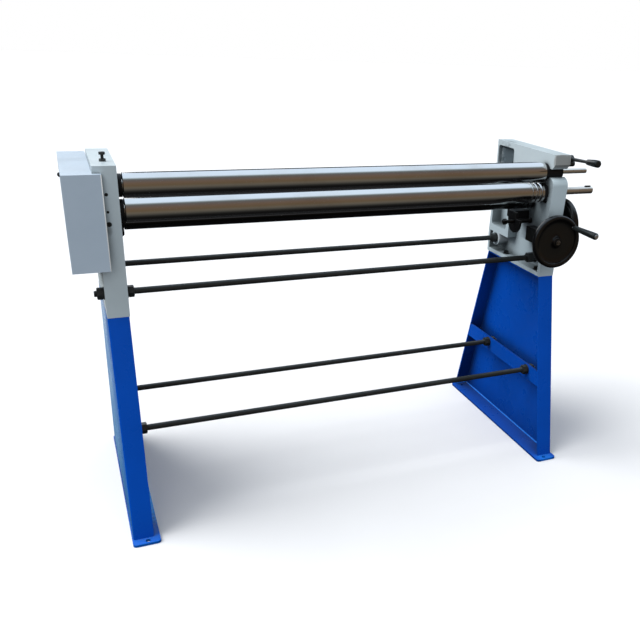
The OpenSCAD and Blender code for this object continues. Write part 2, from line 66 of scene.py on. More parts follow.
# Edges of a frame node that turn by more than this many degrees are rounded, and faces that turn
# by less than this many are one face.
ROUNDED_FROM = 32.0
FLAT_WITHIN = 0.5

# Colour is linear red, green and blue. Triple is a point, or a factor for each axis. Outline is
# pairs of distance along an axis and radius. Ring is a ring of corners in a mesh.
Colour = tuple[float, float, float]
Triple = tuple[float, float, float]
Outline = Sequence[tuple[float, float]]
Ring = list[bmesh.types.BMVert]


class Slot(str, Enum):
    """Material slots of the record."""

    STAND = "stand_paint"
    CASTING = "casting_paint"
    COVER = "cover_paint"
    POLISHED = "polished_steel"
    BRIGHT = "bright_steel"
    DARK = "dark_steel"
    BLACKENED = "blackened_steel"
    IRON = "black_parts"
    WHEEL = "wheel_black"
    GRIP = "grip_plastic"


class Body(str, Enum):
    """Bodies of the frame that carry new pieces."""

    FRAME = "machine_frame"
    TOP_ROLL = "top_roll_body"
    LOWER_ROLL = "lower_roll_body"
    REAR_ROLL = "rear_roll_body"
    REAR_SLIDE = "rear_slide"
    CLAMP = "clamp"
    SIDE_WHEEL = "side_handwheel"
    FRONT_WHEEL = "front_handwheel"
    HANDLE = "handle"


class Side(Enum):
    """The two ends of the machine."""

    LEFT = "left"
    RIGHT = "right"


class Axis(Enum):
    """Direction of a turned piece, with the two directions across it."""

    X = ((1, 0, 0), (0, 1, 0), (0, 0, 1))
    Y = ((0, 1, 0), (0, 0, 1), (1, 0, 0))
    Z = ((0, 0, 1), (1, 0, 0), (0, 1, 0))

    def directions(self) -> tuple[Vector, Vector, Vector]:
        """Returns the axis and the two directions across it."""
        return tuple(Vector(v) for v in self.value)


# ---------------------------------------------------------------- materials


@dataclass(frozen=True)
class Waves:
    """Soft noise: waves for each metre, its finer layers and their strength, and its stretch."""

    scale: float
    detail: float
    rough: float
    stretch: Triple = (1, 1, 1)


class Nodes:
    """Short calls for the nodes of one tree, a finish's or the sky's."""

    def __init__(self, tree: bpy.types.NodeTree) -> None:
        """Takes a tree and empties it."""
        self.tree = tree
        self.tree.nodes.clear()

    def add(
        self, kind: str, inputs: Optional[dict[object, object]] = None, **settings: object
    ) -> bpy.types.Node:
        """Adds a node.

        Args:
            kind: Blender's name of the node type.
            inputs: Socket or plain value for each input, by the input's name or number.
            **settings: Attributes to set on the node.

        Returns:
            The new node.
        """
        node = self.tree.nodes.new(kind)
        for key, value in settings.items():
            setattr(node, key, value)
        for key, value in (inputs or {}).items():
            self.wire(value, node.inputs[key])
        return node

    def wire(self, source: object, target: bpy.types.NodeSocket) -> None:
        """Links a socket to an input, or sets a plain value on it.

        Args:
            source: Output socket, number, colour or vector.
            target: The input.
        """
        if isinstance(source, bpy.types.NodeSocket):
            self.tree.links.new(source, target)
        else:
            target.default_value = source

    def span(
        self, value: object, low: float, high: float, to_low: float = 0.0, to_high: float = 1.0
    ) -> bpy.types.NodeSocket:
        """Maps a range smoothly onto another and holds it there.

        Args:
            value: Socket to map.
            low: Start of the range read.
            high: End of the range read.
            to_low: Result at the start.
            to_high: Result at the end.

        Returns:
            A value socket.
        """
        limits = {"From Min": low, "From Max": high, "To Min": to_low, "To Max": to_high}
        return self.add(
            "ShaderNodeMapRange", {"Value": value, **limits}, interpolation_type="SMOOTHSTEP"
        ).outputs[0]

    def maths(self, operation: str, *values: object) -> bpy.types.NodeSocket:
        """Joins values by an operation such as ADD or MAXIMUM."""
        return self.add("ShaderNodeMath", dict(enumerate(values)), operation=operation).outputs[0]

    def product(self, *shares: object) -> bpy.types.NodeSocket:
        """Multiplies two or more shares together."""
        return reduce(lambda a, b: self.maths("MULTIPLY", a, b), shares)

    def blend(self, share: object, a: object, b: object) -> bpy.types.NodeSocket:
        """Mixes two colours.

        Args:
            share: Share of the second colour.
            a: First colour, or a socket.
            b: Second colour, or a socket.

        Returns:
            A colour socket.
        """
        first, second = (
            c if isinstance(c, bpy.types.NodeSocket) else (*c, 1.0) for c in (a, b)
        )
        inputs = {0: share, 6: first, 7: second}
        return self.add("ShaderNodeMix", inputs, data_type="RGBA").outputs[2]


class Graph(Nodes):
    """Nodes of a finish, which read places on the object in metres."""

    def __init__(self, name: str) -> None:
        """Starts an empty material.

        Args:
            name: Name of the material.
        """
        self.material = bpy.data.materials.new(name)
        self.material.use_nodes = True
        super().__init__(self.material.node_tree)
        self.shader = self.add("ShaderNodeBsdfPrincipled")
        self.add("ShaderNodeOutputMaterial", {0: self.shader.outputs[0]})

    def place(self, stretch: Triple) -> bpy.types.NodeSocket:
        """Place on the object, stretched along the axes."""
        own = self.add("ShaderNodeTexCoord").outputs["Object"]
        return self.add("ShaderNodeMapping", {"Scale": stretch, "Vector": own}).outputs[0]

    def noise(self, waves: Waves) -> bpy.types.NodeSocket:
        """Soft noise.

        Args:
            waves: Its scale and layers.

        Returns:
            A value socket from 0 to 1.
        """
        inputs = {"Vector": self.place(waves.stretch), "Scale": waves.scale,
                  "Detail": waves.detail, "Roughness": waves.rough}
        return self.add("ShaderNodeTexNoise", inputs).outputs["Fac"]

    def bump(
        self, height: object, depth: float, under: Optional[bpy.types.NodeSocket] = None
    ) -> bpy.types.NodeSocket:
        """Fine relief.

        Args:
            height: Value socket from 0 to 1.
            depth: Height of the relief.
            under: Normal that it lies on, if there is one.

        Returns:
            A normal socket.
        """
        inputs = {"Strength": 1.0, "Distance": depth, "Height": height}
        if under is not None:
            inputs["Normal"] = under
        return self.add("ShaderNodeBump", inputs).outputs[0]

    def distance(self, point: Triple, stretch: Triple) -> bpy.types.NodeSocket:
        """Distance from a point of the object.

        Args:
            point: The point.
            stretch: Factor for each axis.

        Returns:
            A value socket.
        """
        target = [p * factor for p, factor in zip(point, stretch)]
        return self.add(
            "ShaderNodeVectorMath", {0: self.place(stretch), 1: target}, operation="DISTANCE"
        ).outputs["Value"]

    def open_share(self, reach: float) -> bpy.types.NodeSocket:
        """How open the surface is: low in corners and pockets, where the enamel is darkened as
        painted shade.

        Args:
            reach: How far to look.

        Returns:
            A value socket from 0 to 1.
        """
        return self.add(
            "ShaderNodeAmbientOcclusion", {"Distance": reach}, samples=16
        ).outputs["AO"]

    def surface(
        self, colour: object, rough: object, normal: object, levels: dict[str, object]
    ) -> None:
        """Fills the shader.

        Args:
            colour: Socket of the base colour.
            rough: Socket of the roughness.
            normal: Socket of the normal.
            levels: Plain values of other inputs, by name.
        """
        inputs = {"Base Color": colour, "Roughness": rough, "Normal": normal, **levels}
        for name, value in inputs.items():
            self.wire(value, self.shader.inputs[name])


@dataclass(frozen=True)
class StainOrPaintedLight:
    """A patch round a point, with a ragged edge, in its own tone: oil stains, darker patches,
    painted light and painted shade.
    """

    point: Triple
    radius: float
    stretch: Triple = (1.0, 1.0, 1.0)
    strength: float = 0.9
    tone: Colour = (0.016, 0.015, 0.011)
    EDGE: ClassVar[Waves] = Waves(70.0, 4.0, 0.6)

    def over(self, graph: Graph, under: object) -> bpy.types.NodeSocket:
        """Lays the patch over a tone.

        Args:
            graph: Nodes of the finish.
            under: Colour socket that it covers.

        Returns:
            A colour socket.
        """
        ragged = graph.product(graph.noise(self.EDGE), self.radius * 0.7)
        far = graph.maths("ADD", graph.distance(self.point, self.stretch), ragged)
        coverage = graph.span(far, self.radius * 1.25, self.radius * 0.75, 0.0, self.strength)
        return graph.blend(coverage, under, self.tone)


@dataclass(frozen=True)
class Finish:
    """What every finish has: its name and its slot in the record."""

    name: str
    slot: Slot

    def material(self) -> bpy.types.Material:
        """Makes the finish's material at its first use.

        Returns:
            The material.
        """
        found = bpy.data.materials.get(self.name)
        if found is None:
            graph = Graph(self.name)
            self.fill(graph)
            found = graph.material
        return found

    def fill(self, graph: Graph) -> None:
        """Builds the shader. Each kind of finish has its own."""
        raise NotImplementedError


@dataclass(frozen=True)
class Paint(Finish):
    """Sprayed enamel, on plate or on a casting."""

    colour: Colour
    shade: Colour
    gloss: float = 0.3
    grain: float = 180.0
    grain_depth: float = 0.00006
    swell: float = 22.0
    swell_depth: float = 0.0004
    shine: float = 0.5
    veil: float = 0.0
    scuffed: float = 0.16
    # Painted shade: how strongly corners and pockets are darkened in the colour, and how far round
    # their openness is read.
    painted_shade: float = 0.0
    painted_shade_reach: float = 0.09
    stains_and_painted_light: tuple[StainOrPaintedLight, ...] = ()
    CLOUDS: ClassVar[Waves] = Waves(3.5, 5.0, 0.6)
    SCUFFS: ClassVar[Waves] = Waves(60.0, 6.0, 0.75, (1, 1, 3))
    SHEEN: ClassVar[Waves] = Waves(9.0, 5.0, 0.6)
    SPECKS: ClassVar[Waves] = Waves(420.0, 2.0, 0.7)
    SPECK_DEPTH: ClassVar[float] = 0.00001

    def fill(self, graph: Graph) -> None:
        """Enamel with cloudy tone, orange peel, scuffs, and painted shade in its corners.

        Args:
            graph: Nodes to build with.
        """
        cloud = graph.span(graph.noise(self.CLOUDS), 0.32, 0.72)
        tone = graph.blend(cloud, self.colour, self.shade)
        scuff = graph.span(graph.noise(self.SCUFFS), 0.62, 0.72)
        rubbed = tuple(min(1.0, 0.2 + c * 1.5) for c in self.colour)
        tone = graph.blend(graph.product(scuff, self.scuffed), tone, rubbed)
        # Painted shade: the tone darkens where the surface is closed in, as shade falls there.
        if self.painted_shade:
            closed = graph.span(graph.open_share(self.painted_shade_reach), 0.80, 0.30, 0.0, self.painted_shade)
            tone = graph.blend(closed, tone, tuple(c * 0.13 for c in self.colour))
        for stain in self.stains_and_painted_light:
            tone = stain.over(graph, tone)
        sheen = graph.noise(self.SHEEN)
        rough = graph.span(sheen, 0.3, 0.7, self.gloss * 0.82, self.gloss * 1.2)
        peel = graph.bump(graph.noise(Waves(self.grain, 3.0, 0.55)), self.grain_depth)
        peel = graph.bump(graph.noise(Waves(self.swell, 3.0, 0.5)), self.swell_depth, peel)
        peel = graph.bump(graph.noise(self.SPECKS), self.SPECK_DEPTH, peel)
        graph.surface(tone, rough, peel, {
            "Specular IOR Level": self.shine, "Sheen Weight": self.veil, "Sheen Roughness": 0.25,
            "Sheen Tint": (0.25, 0.85, 1.0, 1.0),
        })


@dataclass(frozen=True)
class Steel(Finish):
    """Turned or ground steel, with tool marks that run round the axis given."""

    colour: Colour
    stain: Colour
    rough: float = 0.16
    marks: Triple = (1, 1, 1)
    mark_size: float = 260.0
    mark_depth: float = 0.000006
    CLOUDS: ClassVar[Waves] = Waves(7.0, 6.0, 0.65, (0.5, 1.0, 1.0))
    FLECKS: ClassVar[Waves] = Waves(95.0, 5.0, 0.8)

    def fill(self, graph: Graph) -> None:
        """Bare metal with tool marks, faint stains and small scratches.

        Args:
            graph: Nodes to build with.
        """
        marks = graph.noise(Waves(self.mark_size, 4.0, 0.65, self.marks))
        cloud = graph.span(graph.noise(self.CLOUDS), 0.45, 0.75)
        fleck = graph.span(graph.noise(self.FLECKS), 0.66, 0.78)
        share = graph.product(cloud, 0.35)
        tone = graph.blend(share, self.colour, self.stain)
        tone = graph.blend(graph.product(fleck, 0.3), tone, self.stain)
        rough = graph.span(marks, 0.25, 0.75, self.rough * 0.7, self.rough * 1.35)
        rough = graph.maths("ADD", rough, graph.product(share, 0.25))
        graph.surface(tone, rough, graph.bump(marks, self.mark_depth), {"Metallic": 1.0})


@dataclass(frozen=True)
class Blackened(Finish):
    """Black paint or black oxide on steel and iron, rubbed a little lighter in places."""

    colour: Colour
    rubbed: Colour
    rough: float = 0.4
    grain: float = 320.0
    grain_depth: float = 0.00005
    rub_share: float = 0.5
    shine: float = 0.5
    PATCHES: ClassVar[Waves] = Waves(34.0, 7.0, 0.72)
    CLOUDS: ClassVar[Waves] = Waves(6.0, 4.0, 0.6)
    SHEEN: ClassVar[Waves] = Waves(14.0, 5.0, 0.6)

    def fill(self, graph: Graph) -> None:
        """Black skin with rubbed patches, grain and an uneven sheen.

        Args:
            graph: Nodes to build with.
        """
        patches = graph.span(graph.noise(self.PATCHES), 0.52, 0.74)
        cloud = graph.span(graph.noise(self.CLOUDS), 0.3, 0.7, 0.0, 0.25)
        share = graph.maths("MAXIMUM", graph.product(patches, self.rub_share), cloud)
        tone = graph.blend(share, self.colour, self.rubbed)
        sheen = graph.noise(self.SHEEN)
        rough = graph.span(sheen, 0.3, 0.7, self.rough * 0.8, self.rough * 1.25)
        relief = graph.bump(graph.noise(Waves(self.grain, 4.0, 0.6)), self.grain_depth)
        graph.surface(tone, rough, relief, {"Specular IOR Level": self.shine})


# The blue and grey enamels darken their corners and pockets as painted shade.
BLUE = Paint("blue_enamel", Slot.STAND, (0.0006, 0.078, 0.50), (0.0005, 0.067, 0.43),
             grain_depth=0.00003, swell_depth=0.00009, shine=0.16, veil=0.40, scuffed=0.02,
             painted_shade=0.85, painted_shade_reach=0.28)
# A lighter copy of the blue enamel for the weld beads, with more sheen and no painted shade: the
# lighter colour is a painted highlight.
LIT_WELD_BLUE = replace(BLUE, name="lit_blue_enamel_weld", colour=(0.02, 0.17, 0.62),
                    shade=(0.008, 0.12, 0.54), veil=0.6, painted_shade=0.0)
GREY = Paint("grey_casting_enamel", Slot.CASTING, (0.56, 0.64, 0.67), (0.50, 0.58, 0.61),
             gloss=0.38, grain=130.0, grain_depth=0.00012, swell=34.0, swell_depth=0.0007,
             shine=0.3, painted_shade=0.85)
# A darker, more cyan copy of the casting enamel for the right casting, with painted shade reaching
# further: painted shade on its inner faces.
SHADED_RIGHT_GREY = replace(GREY, name="grey_casting_enamel_right", colour=(0.49, 0.58, 0.62),
                      shade=(0.43, 0.52, 0.56), painted_shade_reach=0.14)
# A dark copy of the casting enamel for the hinge pin: painted shade, as dark as the shaded pocket
# round it.
SHADED_PIN_GREY = replace(GREY, name="grey_casting_enamel_pin", colour=(0.12, 0.155, 0.175),
                   shade=(0.10, 0.13, 0.15))
SHEET = Paint("grey_sheet_enamel", Slot.COVER, (0.47, 0.56, 0.65), (0.43, 0.52, 0.61), gloss=0.34,
              swell=9.0, swell_depth=0.0006, shine=0.4)
# A pale colour for the hem along the cover's free edge.
PALE_HEM = Paint("pale_hem_paint", Slot.COVER, (0.86, 0.87, 0.84), (0.80, 0.81, 0.78),
                   gloss=0.4, shine=0.3)
ROLL = Steel("ground_roll_steel", Slot.POLISHED, (0.72, 0.71, 0.70), (0.46, 0.40, 0.34),
             rough=0.10, marks=(1, 0.02, 0.02), mark_size=420.0)
# A darker copy of the ground roll steel for the rear roll: painted shade, for the shade and dark
# reflections under the lower roll.
DARK_ROLL = Steel("dark_roll_steel", Slot.POLISHED, (0.11, 0.108, 0.105), (0.06, 0.052, 0.045),
                   marks=(1, 0.02, 0.02), mark_size=420.0)
SHAFT = Steel("turned_shaft_steel", Slot.POLISHED, (0.86, 0.82, 0.76), (0.55, 0.46, 0.37),
              rough=0.34, marks=(1, 0.05, 0.05), mark_size=700.0, mark_depth=0.00001)
BOLT = Steel("bright_bolt_steel", Slot.BRIGHT, (0.82, 0.84, 0.87), (0.55, 0.55, 0.56), rough=0.5)
OILED = Steel("oiled_dark_steel", Slot.DARK, (0.07, 0.067, 0.064), (0.03, 0.027, 0.024), rough=0.34,
              mark_size=500.0, mark_depth=0.00001)
# A lighter copy of the dark steel for the front wheel's hub bolt: the lighter colour is a painted
# highlight.
LIT_HUB = Steel("lit_hub_steel", Slot.DARK, (0.30, 0.29, 0.28), (0.10, 0.095, 0.09), rough=0.3,
             mark_size=500.0)
ROD_BLACK = Blackened("black_rod_paint", Slot.BLACKENED, (0.012, 0.014, 0.014),
                      (0.045, 0.048, 0.047), rough=0.36)
IRON = Blackened("blackened_iron", Slot.IRON, (0.005, 0.005, 0.0055), (0.022, 0.021, 0.02),
                 rough=0.42, grain=240.0, grain_depth=0.00009, shine=0.22)
MOULDED = Blackened("moulded_wheel_black", Slot.WHEEL, (0.0025, 0.0023, 0.0024),
                    (0.006, 0.0056, 0.0056), rough=0.2, grain=90.0, grain_depth=0.00004,
                    rub_share=0.3)
GRIP = Blackened("grip_black", Slot.GRIP, (0.008, 0.010, 0.010), (0.03, 0.035, 0.034),
                 rough=0.33, grain=150.0, rub_share=0.25)

# Tones of the patches on the enamel. The two blues and the light grey are painted light, and the
# brown and the dark grey are painted shade.
LIT_BLUE: Colour = (0.003, 0.15, 0.62)
LIT_PALE_BLUE: Colour = (0.03, 0.36, 0.95)
LIT_GREY: Colour = (0.50, 0.54, 0.57)
NOSE_SHADE_BROWN: Colour = (0.19, 0.165, 0.135)
POCKET_SHADE_GREY: Colour = (0.075, 0.10, 0.115)


# ---------------------------------------------------------------- shapes


def skin(bm: bmesh.types.BMesh, rings: Sequence[Ring]) -> None:
    """Joins each ring to the next by a band of faces.

    Args:
        bm: Mesh to add to.
        rings: Rings of equal length.
    """
    for near, far in zip(rings, rings[1:]):
        for i in range(len(near)):
            j = (i + 1) % len(near)
            bm.faces.new((near[i], near[j], far[j], far[i]))


def prism(
    bm: bmesh.types.BMesh, near: Sequence[Triple], far: Sequence[Triple], floor: bool = True
) -> None:
    """Adds a straight-sided body between two loops of corners.

    Args:
        bm: Mesh to add to.
        near: Corners of the first loop.
        far: Corners of the second loop, in the same order.
        floor: Whether the first loop is closed by a face, as the second one is.
    """
    loops = [[bm.verts.new(corner) for corner in loop] for loop in (near, far)]
    for loop in loops if floor else loops[1:]:
        bm.faces.new(loop)
    skin(bm, loops)


def turned(
    bm: bmesh.types.BMesh,
    centre: Vector,
    axis: Axis,
    outline: Iterable[tuple[float, float]],
    sides: int = 64,
) -> None:
    """Adds a turned shape.

    Args:
        bm: Mesh to add to.
        centre: Origin of the outline.
        axis: Axis of the turning.
        outline: Pairs of distance along the axis and radius.
        sides: Number of sides round.
    """
    along, across, up = axis.directions()
    rings: list[Ring] = []
    for distance, radius in outline:
        point = centre + along * distance
        if radius < SAME_POINT:
            rings.append([bm.verts.new(point)])
            continue
        rings.append([
            bm.verts.new(point + (across * math.cos(a) + up * math.sin(a)) * radius)
            for a in (2 * math.pi * i / sides for i in range(sides))
        ])
    for low, high in zip(rings, rings[1:]):
        for i in range(sides):
            j = (i + 1) % sides
            corners = (low[i % len(low)], low[j % len(low)], high[j % len(high)],
                       high[i % len(high)])
            unique = list(dict.fromkeys(corners))
            if len(unique) > 2:
                bm.faces.new(unique)


def closed_turned(
    bm: bmesh.types.BMesh, centre: Vector, axis: Axis, outline: Outline, sides: int = 64
) -> None:
    """Adds a turned shape whose outline closes on itself, such as a ring."""
    turned(bm, centre, axis, [*outline, outline[0]], sides)


def arc(
    centre: tuple[float, float], along: float, out: float, degrees: Iterable[float]
) -> list[tuple[float, float]]:
    """Points of an arc in an outline.

    Args:
        centre: Distance and radius of its centre.
        along: Its half width along the axis, negative towards the start.
        out: Its half width away from the axis, negative inwards.
        degrees: Angles of the points, from the direction along the axis.

    Returns:
        Pairs of distance and radius.
    """
    return [(centre[0] + along * math.cos(a), centre[1] + out * math.sin(a))
            for a in map(math.radians, degrees)]


def hexagon(
    bm: bmesh.types.BMesh,
    centre: Vector,
    axis: Axis,
    across_flats: float,
    low: float,
    high: float,
    bore: float = 0.0,
    seated: bool = False,
) -> None:
    """Adds a hexagon nut or bolt head with its corners turned down.

    Args:
        bm: Mesh to add to.
        centre: Point on the axis.
        axis: Axis of the hexagon.
        across_flats: Size across its flats.
        low: Start along the axis.
        high: End along the axis.
        bore: Radius of its bore, or 0 for a solid head.
        seated: Whether the low end is left square, because it lies on its seat.
    """
    along, across, up = axis.directions()
    sides, slope, closed = 48, 0.58, 1e-5
    crown = across_flats * 0.475
    hole = max(bore, closed)
    rings: list[Ring] = []
    for distance, drop, radius in (
        (low, 0, hole), (low, 0, crown), (low, 0 if seated else 1, None), (high, -1, None),
        (high, 0, crown), (high, 0, hole),
    ):
        ring = []
        for i in range(sides):
            angle = 2 * math.pi * i / sides
            edge = across_flats / 2 / math.cos((angle % (math.pi / 3)) - math.pi / 6)
            r = edge if radius is None else radius
            z = distance + drop * (r - crown) * slope
            ring.append(bm.verts.new(
                centre + along * z + (across * math.cos(angle) + up * math.sin(angle)) * r
            ))
        rings.append(ring)
    skin(bm, [*rings, rings[0]])


def threaded(low: float, high: float, radius: float, pitch: float) -> list[tuple[float, float]]:
    """Outline of a screw thread.

    Args:
        low: Start along the axis.
        high: End along the axis.
        radius: Radius over the crests.
        pitch: Distance between crests.

    Returns:
        Pairs of distance and radius.
    """
    root = radius - pitch * 0.45
    starts = (low + i * pitch for i in range(int((high - low) / pitch)))
    return [point for start in starts for point in ((start, root), (start + pitch / 2, radius))]


def keep(
    name: str,
    bm: bmesh.types.BMesh,
    finish: Finish,
    body: Body,
    replaced: Sequence[str] = (),
    crease: float = 35.0,
    mirrored: bool = True,
) -> None:
    """Turns a mesh into a piece that rides on a body.

    Args:
        name: Name of the piece.
        bm: Its mesh, which is freed.
        finish: Its finish.
        body: Body that carries it.
        replaced: Nodes of the frame that it stands for.
        crease: Angle in degrees above which an edge stays sharp.
        mirrored: Whether it shows in other pieces' reflections.
    """
    bmesh.ops.remove_doubles(bm, verts=bm.verts, dist=SAME_POINT)
    bmesh.ops.recalc_face_normals(bm, faces=bm.faces)
    mesh = bpy.data.meshes.new(name)
    bm.to_mesh(mesh)
    bm.free()
    mesh.shade_smooth()
    mesh.set_sharp_from_angle(angle=math.radians(crease))
    mesh.materials.append(finish.material())
    piece = bpy.data.objects.new(name, mesh)
    bpy.context.scene.collection.objects.link(piece)
    piece.visible_glossy = mirrored
    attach(piece, body.value)
    if replaced:
        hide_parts(*replaced)
    LOG.info("%s: %d faces, on %s", name, len(mesh.polygons), body.value)


def modify(piece: bpy.types.Object, kind: str, **settings: object) -> None:
    """Adds a modifier.

    Args:
        piece: The piece to change.
        kind: Blender's name of the modifier's type.
        **settings: Attributes to set on it.
    """
    modifier = piece.modifiers.new(kind.lower(), kind)
    for key, value in settings.items():
        setattr(modifier, key, value)


def dress(node: str, finish: Finish, edge: float = 0.0, segments: int = 2) -> bpy.types.Object:
    """Gives a node of the frame its finish and rounds its edges.

    Args:
        node: Name of the node.
        finish: Its finish.
        edge: Width of the rounding, or 0 for none.
        segments: Faces across the rounding.

    Returns:
        The node's object.
    """
    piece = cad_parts[node]
    mesh = piece.data
    for name in ("custom_normal", "sharp_face", "sharp_edge"):
        if name in mesh.attributes:
            mesh.attributes.remove(mesh.attributes[name])
    mesh.materials.clear()
    mesh.materials.append(finish.material())
    mesh.shade_smooth()
    modify(piece, "WELD", merge_threshold=SAME_FRAME_POINT)
    if edge > 0:
        modify(piece, "DECIMATE", decimate_type="DISSOLVE", angle_limit=math.radians(FLAT_WITHIN))
        modify(piece, "BEVEL", width=edge, segments=segments, limit_method="ANGLE",
               angle_limit=math.radians(ROUNDED_FROM), harden_normals=True,
               use_clamp_overlap=True, miter_outer="MITER_ARC")
    LOG.info("%s: frame node, %s", node, finish.name)
    return piece


def middle(node: str) -> Vector:
    """Centre of a node's box."""
    low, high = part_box(node)
    return (low + high) / 2


def front_end(node: str) -> tuple[Vector, float]:
    """Reads where a node that lies along Y starts.

    Args:
        node: Name of the node.

    Returns:
        The centre of its front end, and its length.
    """
    low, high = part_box(node)
    centre = middle(node)
    centre.y = low.y
    return centre, high.y - low.y


def loose_boxes(node: str) -> list[tuple[Vector, Vector]]:
    """Boxes of the separate solids in a node.

    Args:
        node: Name of the node.

    Returns:
        Lowest and highest corner of each solid.
    """
    bm = bmesh.new()
    bm.from_mesh(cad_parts[node].data)
    bmesh.ops.remove_doubles(bm, verts=bm.verts, dist=SAME_FRAME_POINT)
    left = set(bm.verts)
    boxes = []
    while left:
        first = min(left, key=lambda v: v.index)
        found, queue = {first}, [first]
        while queue:
            for edge in queue.pop().link_edges:
                for vert in edge.verts:
                    if vert not in found:
                        found.add(vert)
                        queue.append(vert)
        left -= found
        boxes.append(tuple(
            Vector(pick(v.co[i] for v in found) for i in range(3)) for pick in (min, max)
        ))
    bm.free()
    return sorted(boxes, key=lambda b: tuple(b[0]))


# ---------------------------------------------------------------- sub-assemblies


@dataclass(frozen=True)
class Channel:
    """Place of a stand's folded channel, by its outer faces."""

    outer: float
    inner: float
    low: Vector
    high: Vector
    top_front: float
    top_back: float

    @property
    def way(self) -> int:
        """Direction along X from the web to the open side."""
        return 1 if self.inner > self.outer else -1

    def flanges(self, z: float) -> tuple[float, float]:
        """Reads where the flanges are at a height.

        Args:
            z: The height.

        Returns:
            Y of the front and of the back one.
        """
        t = (z - self.low.z) / (self.high.z - self.low.z)
        return (self.low.y + (self.top_front - self.low.y) * t,
                self.high.y + (self.top_back - self.high.y) * t)


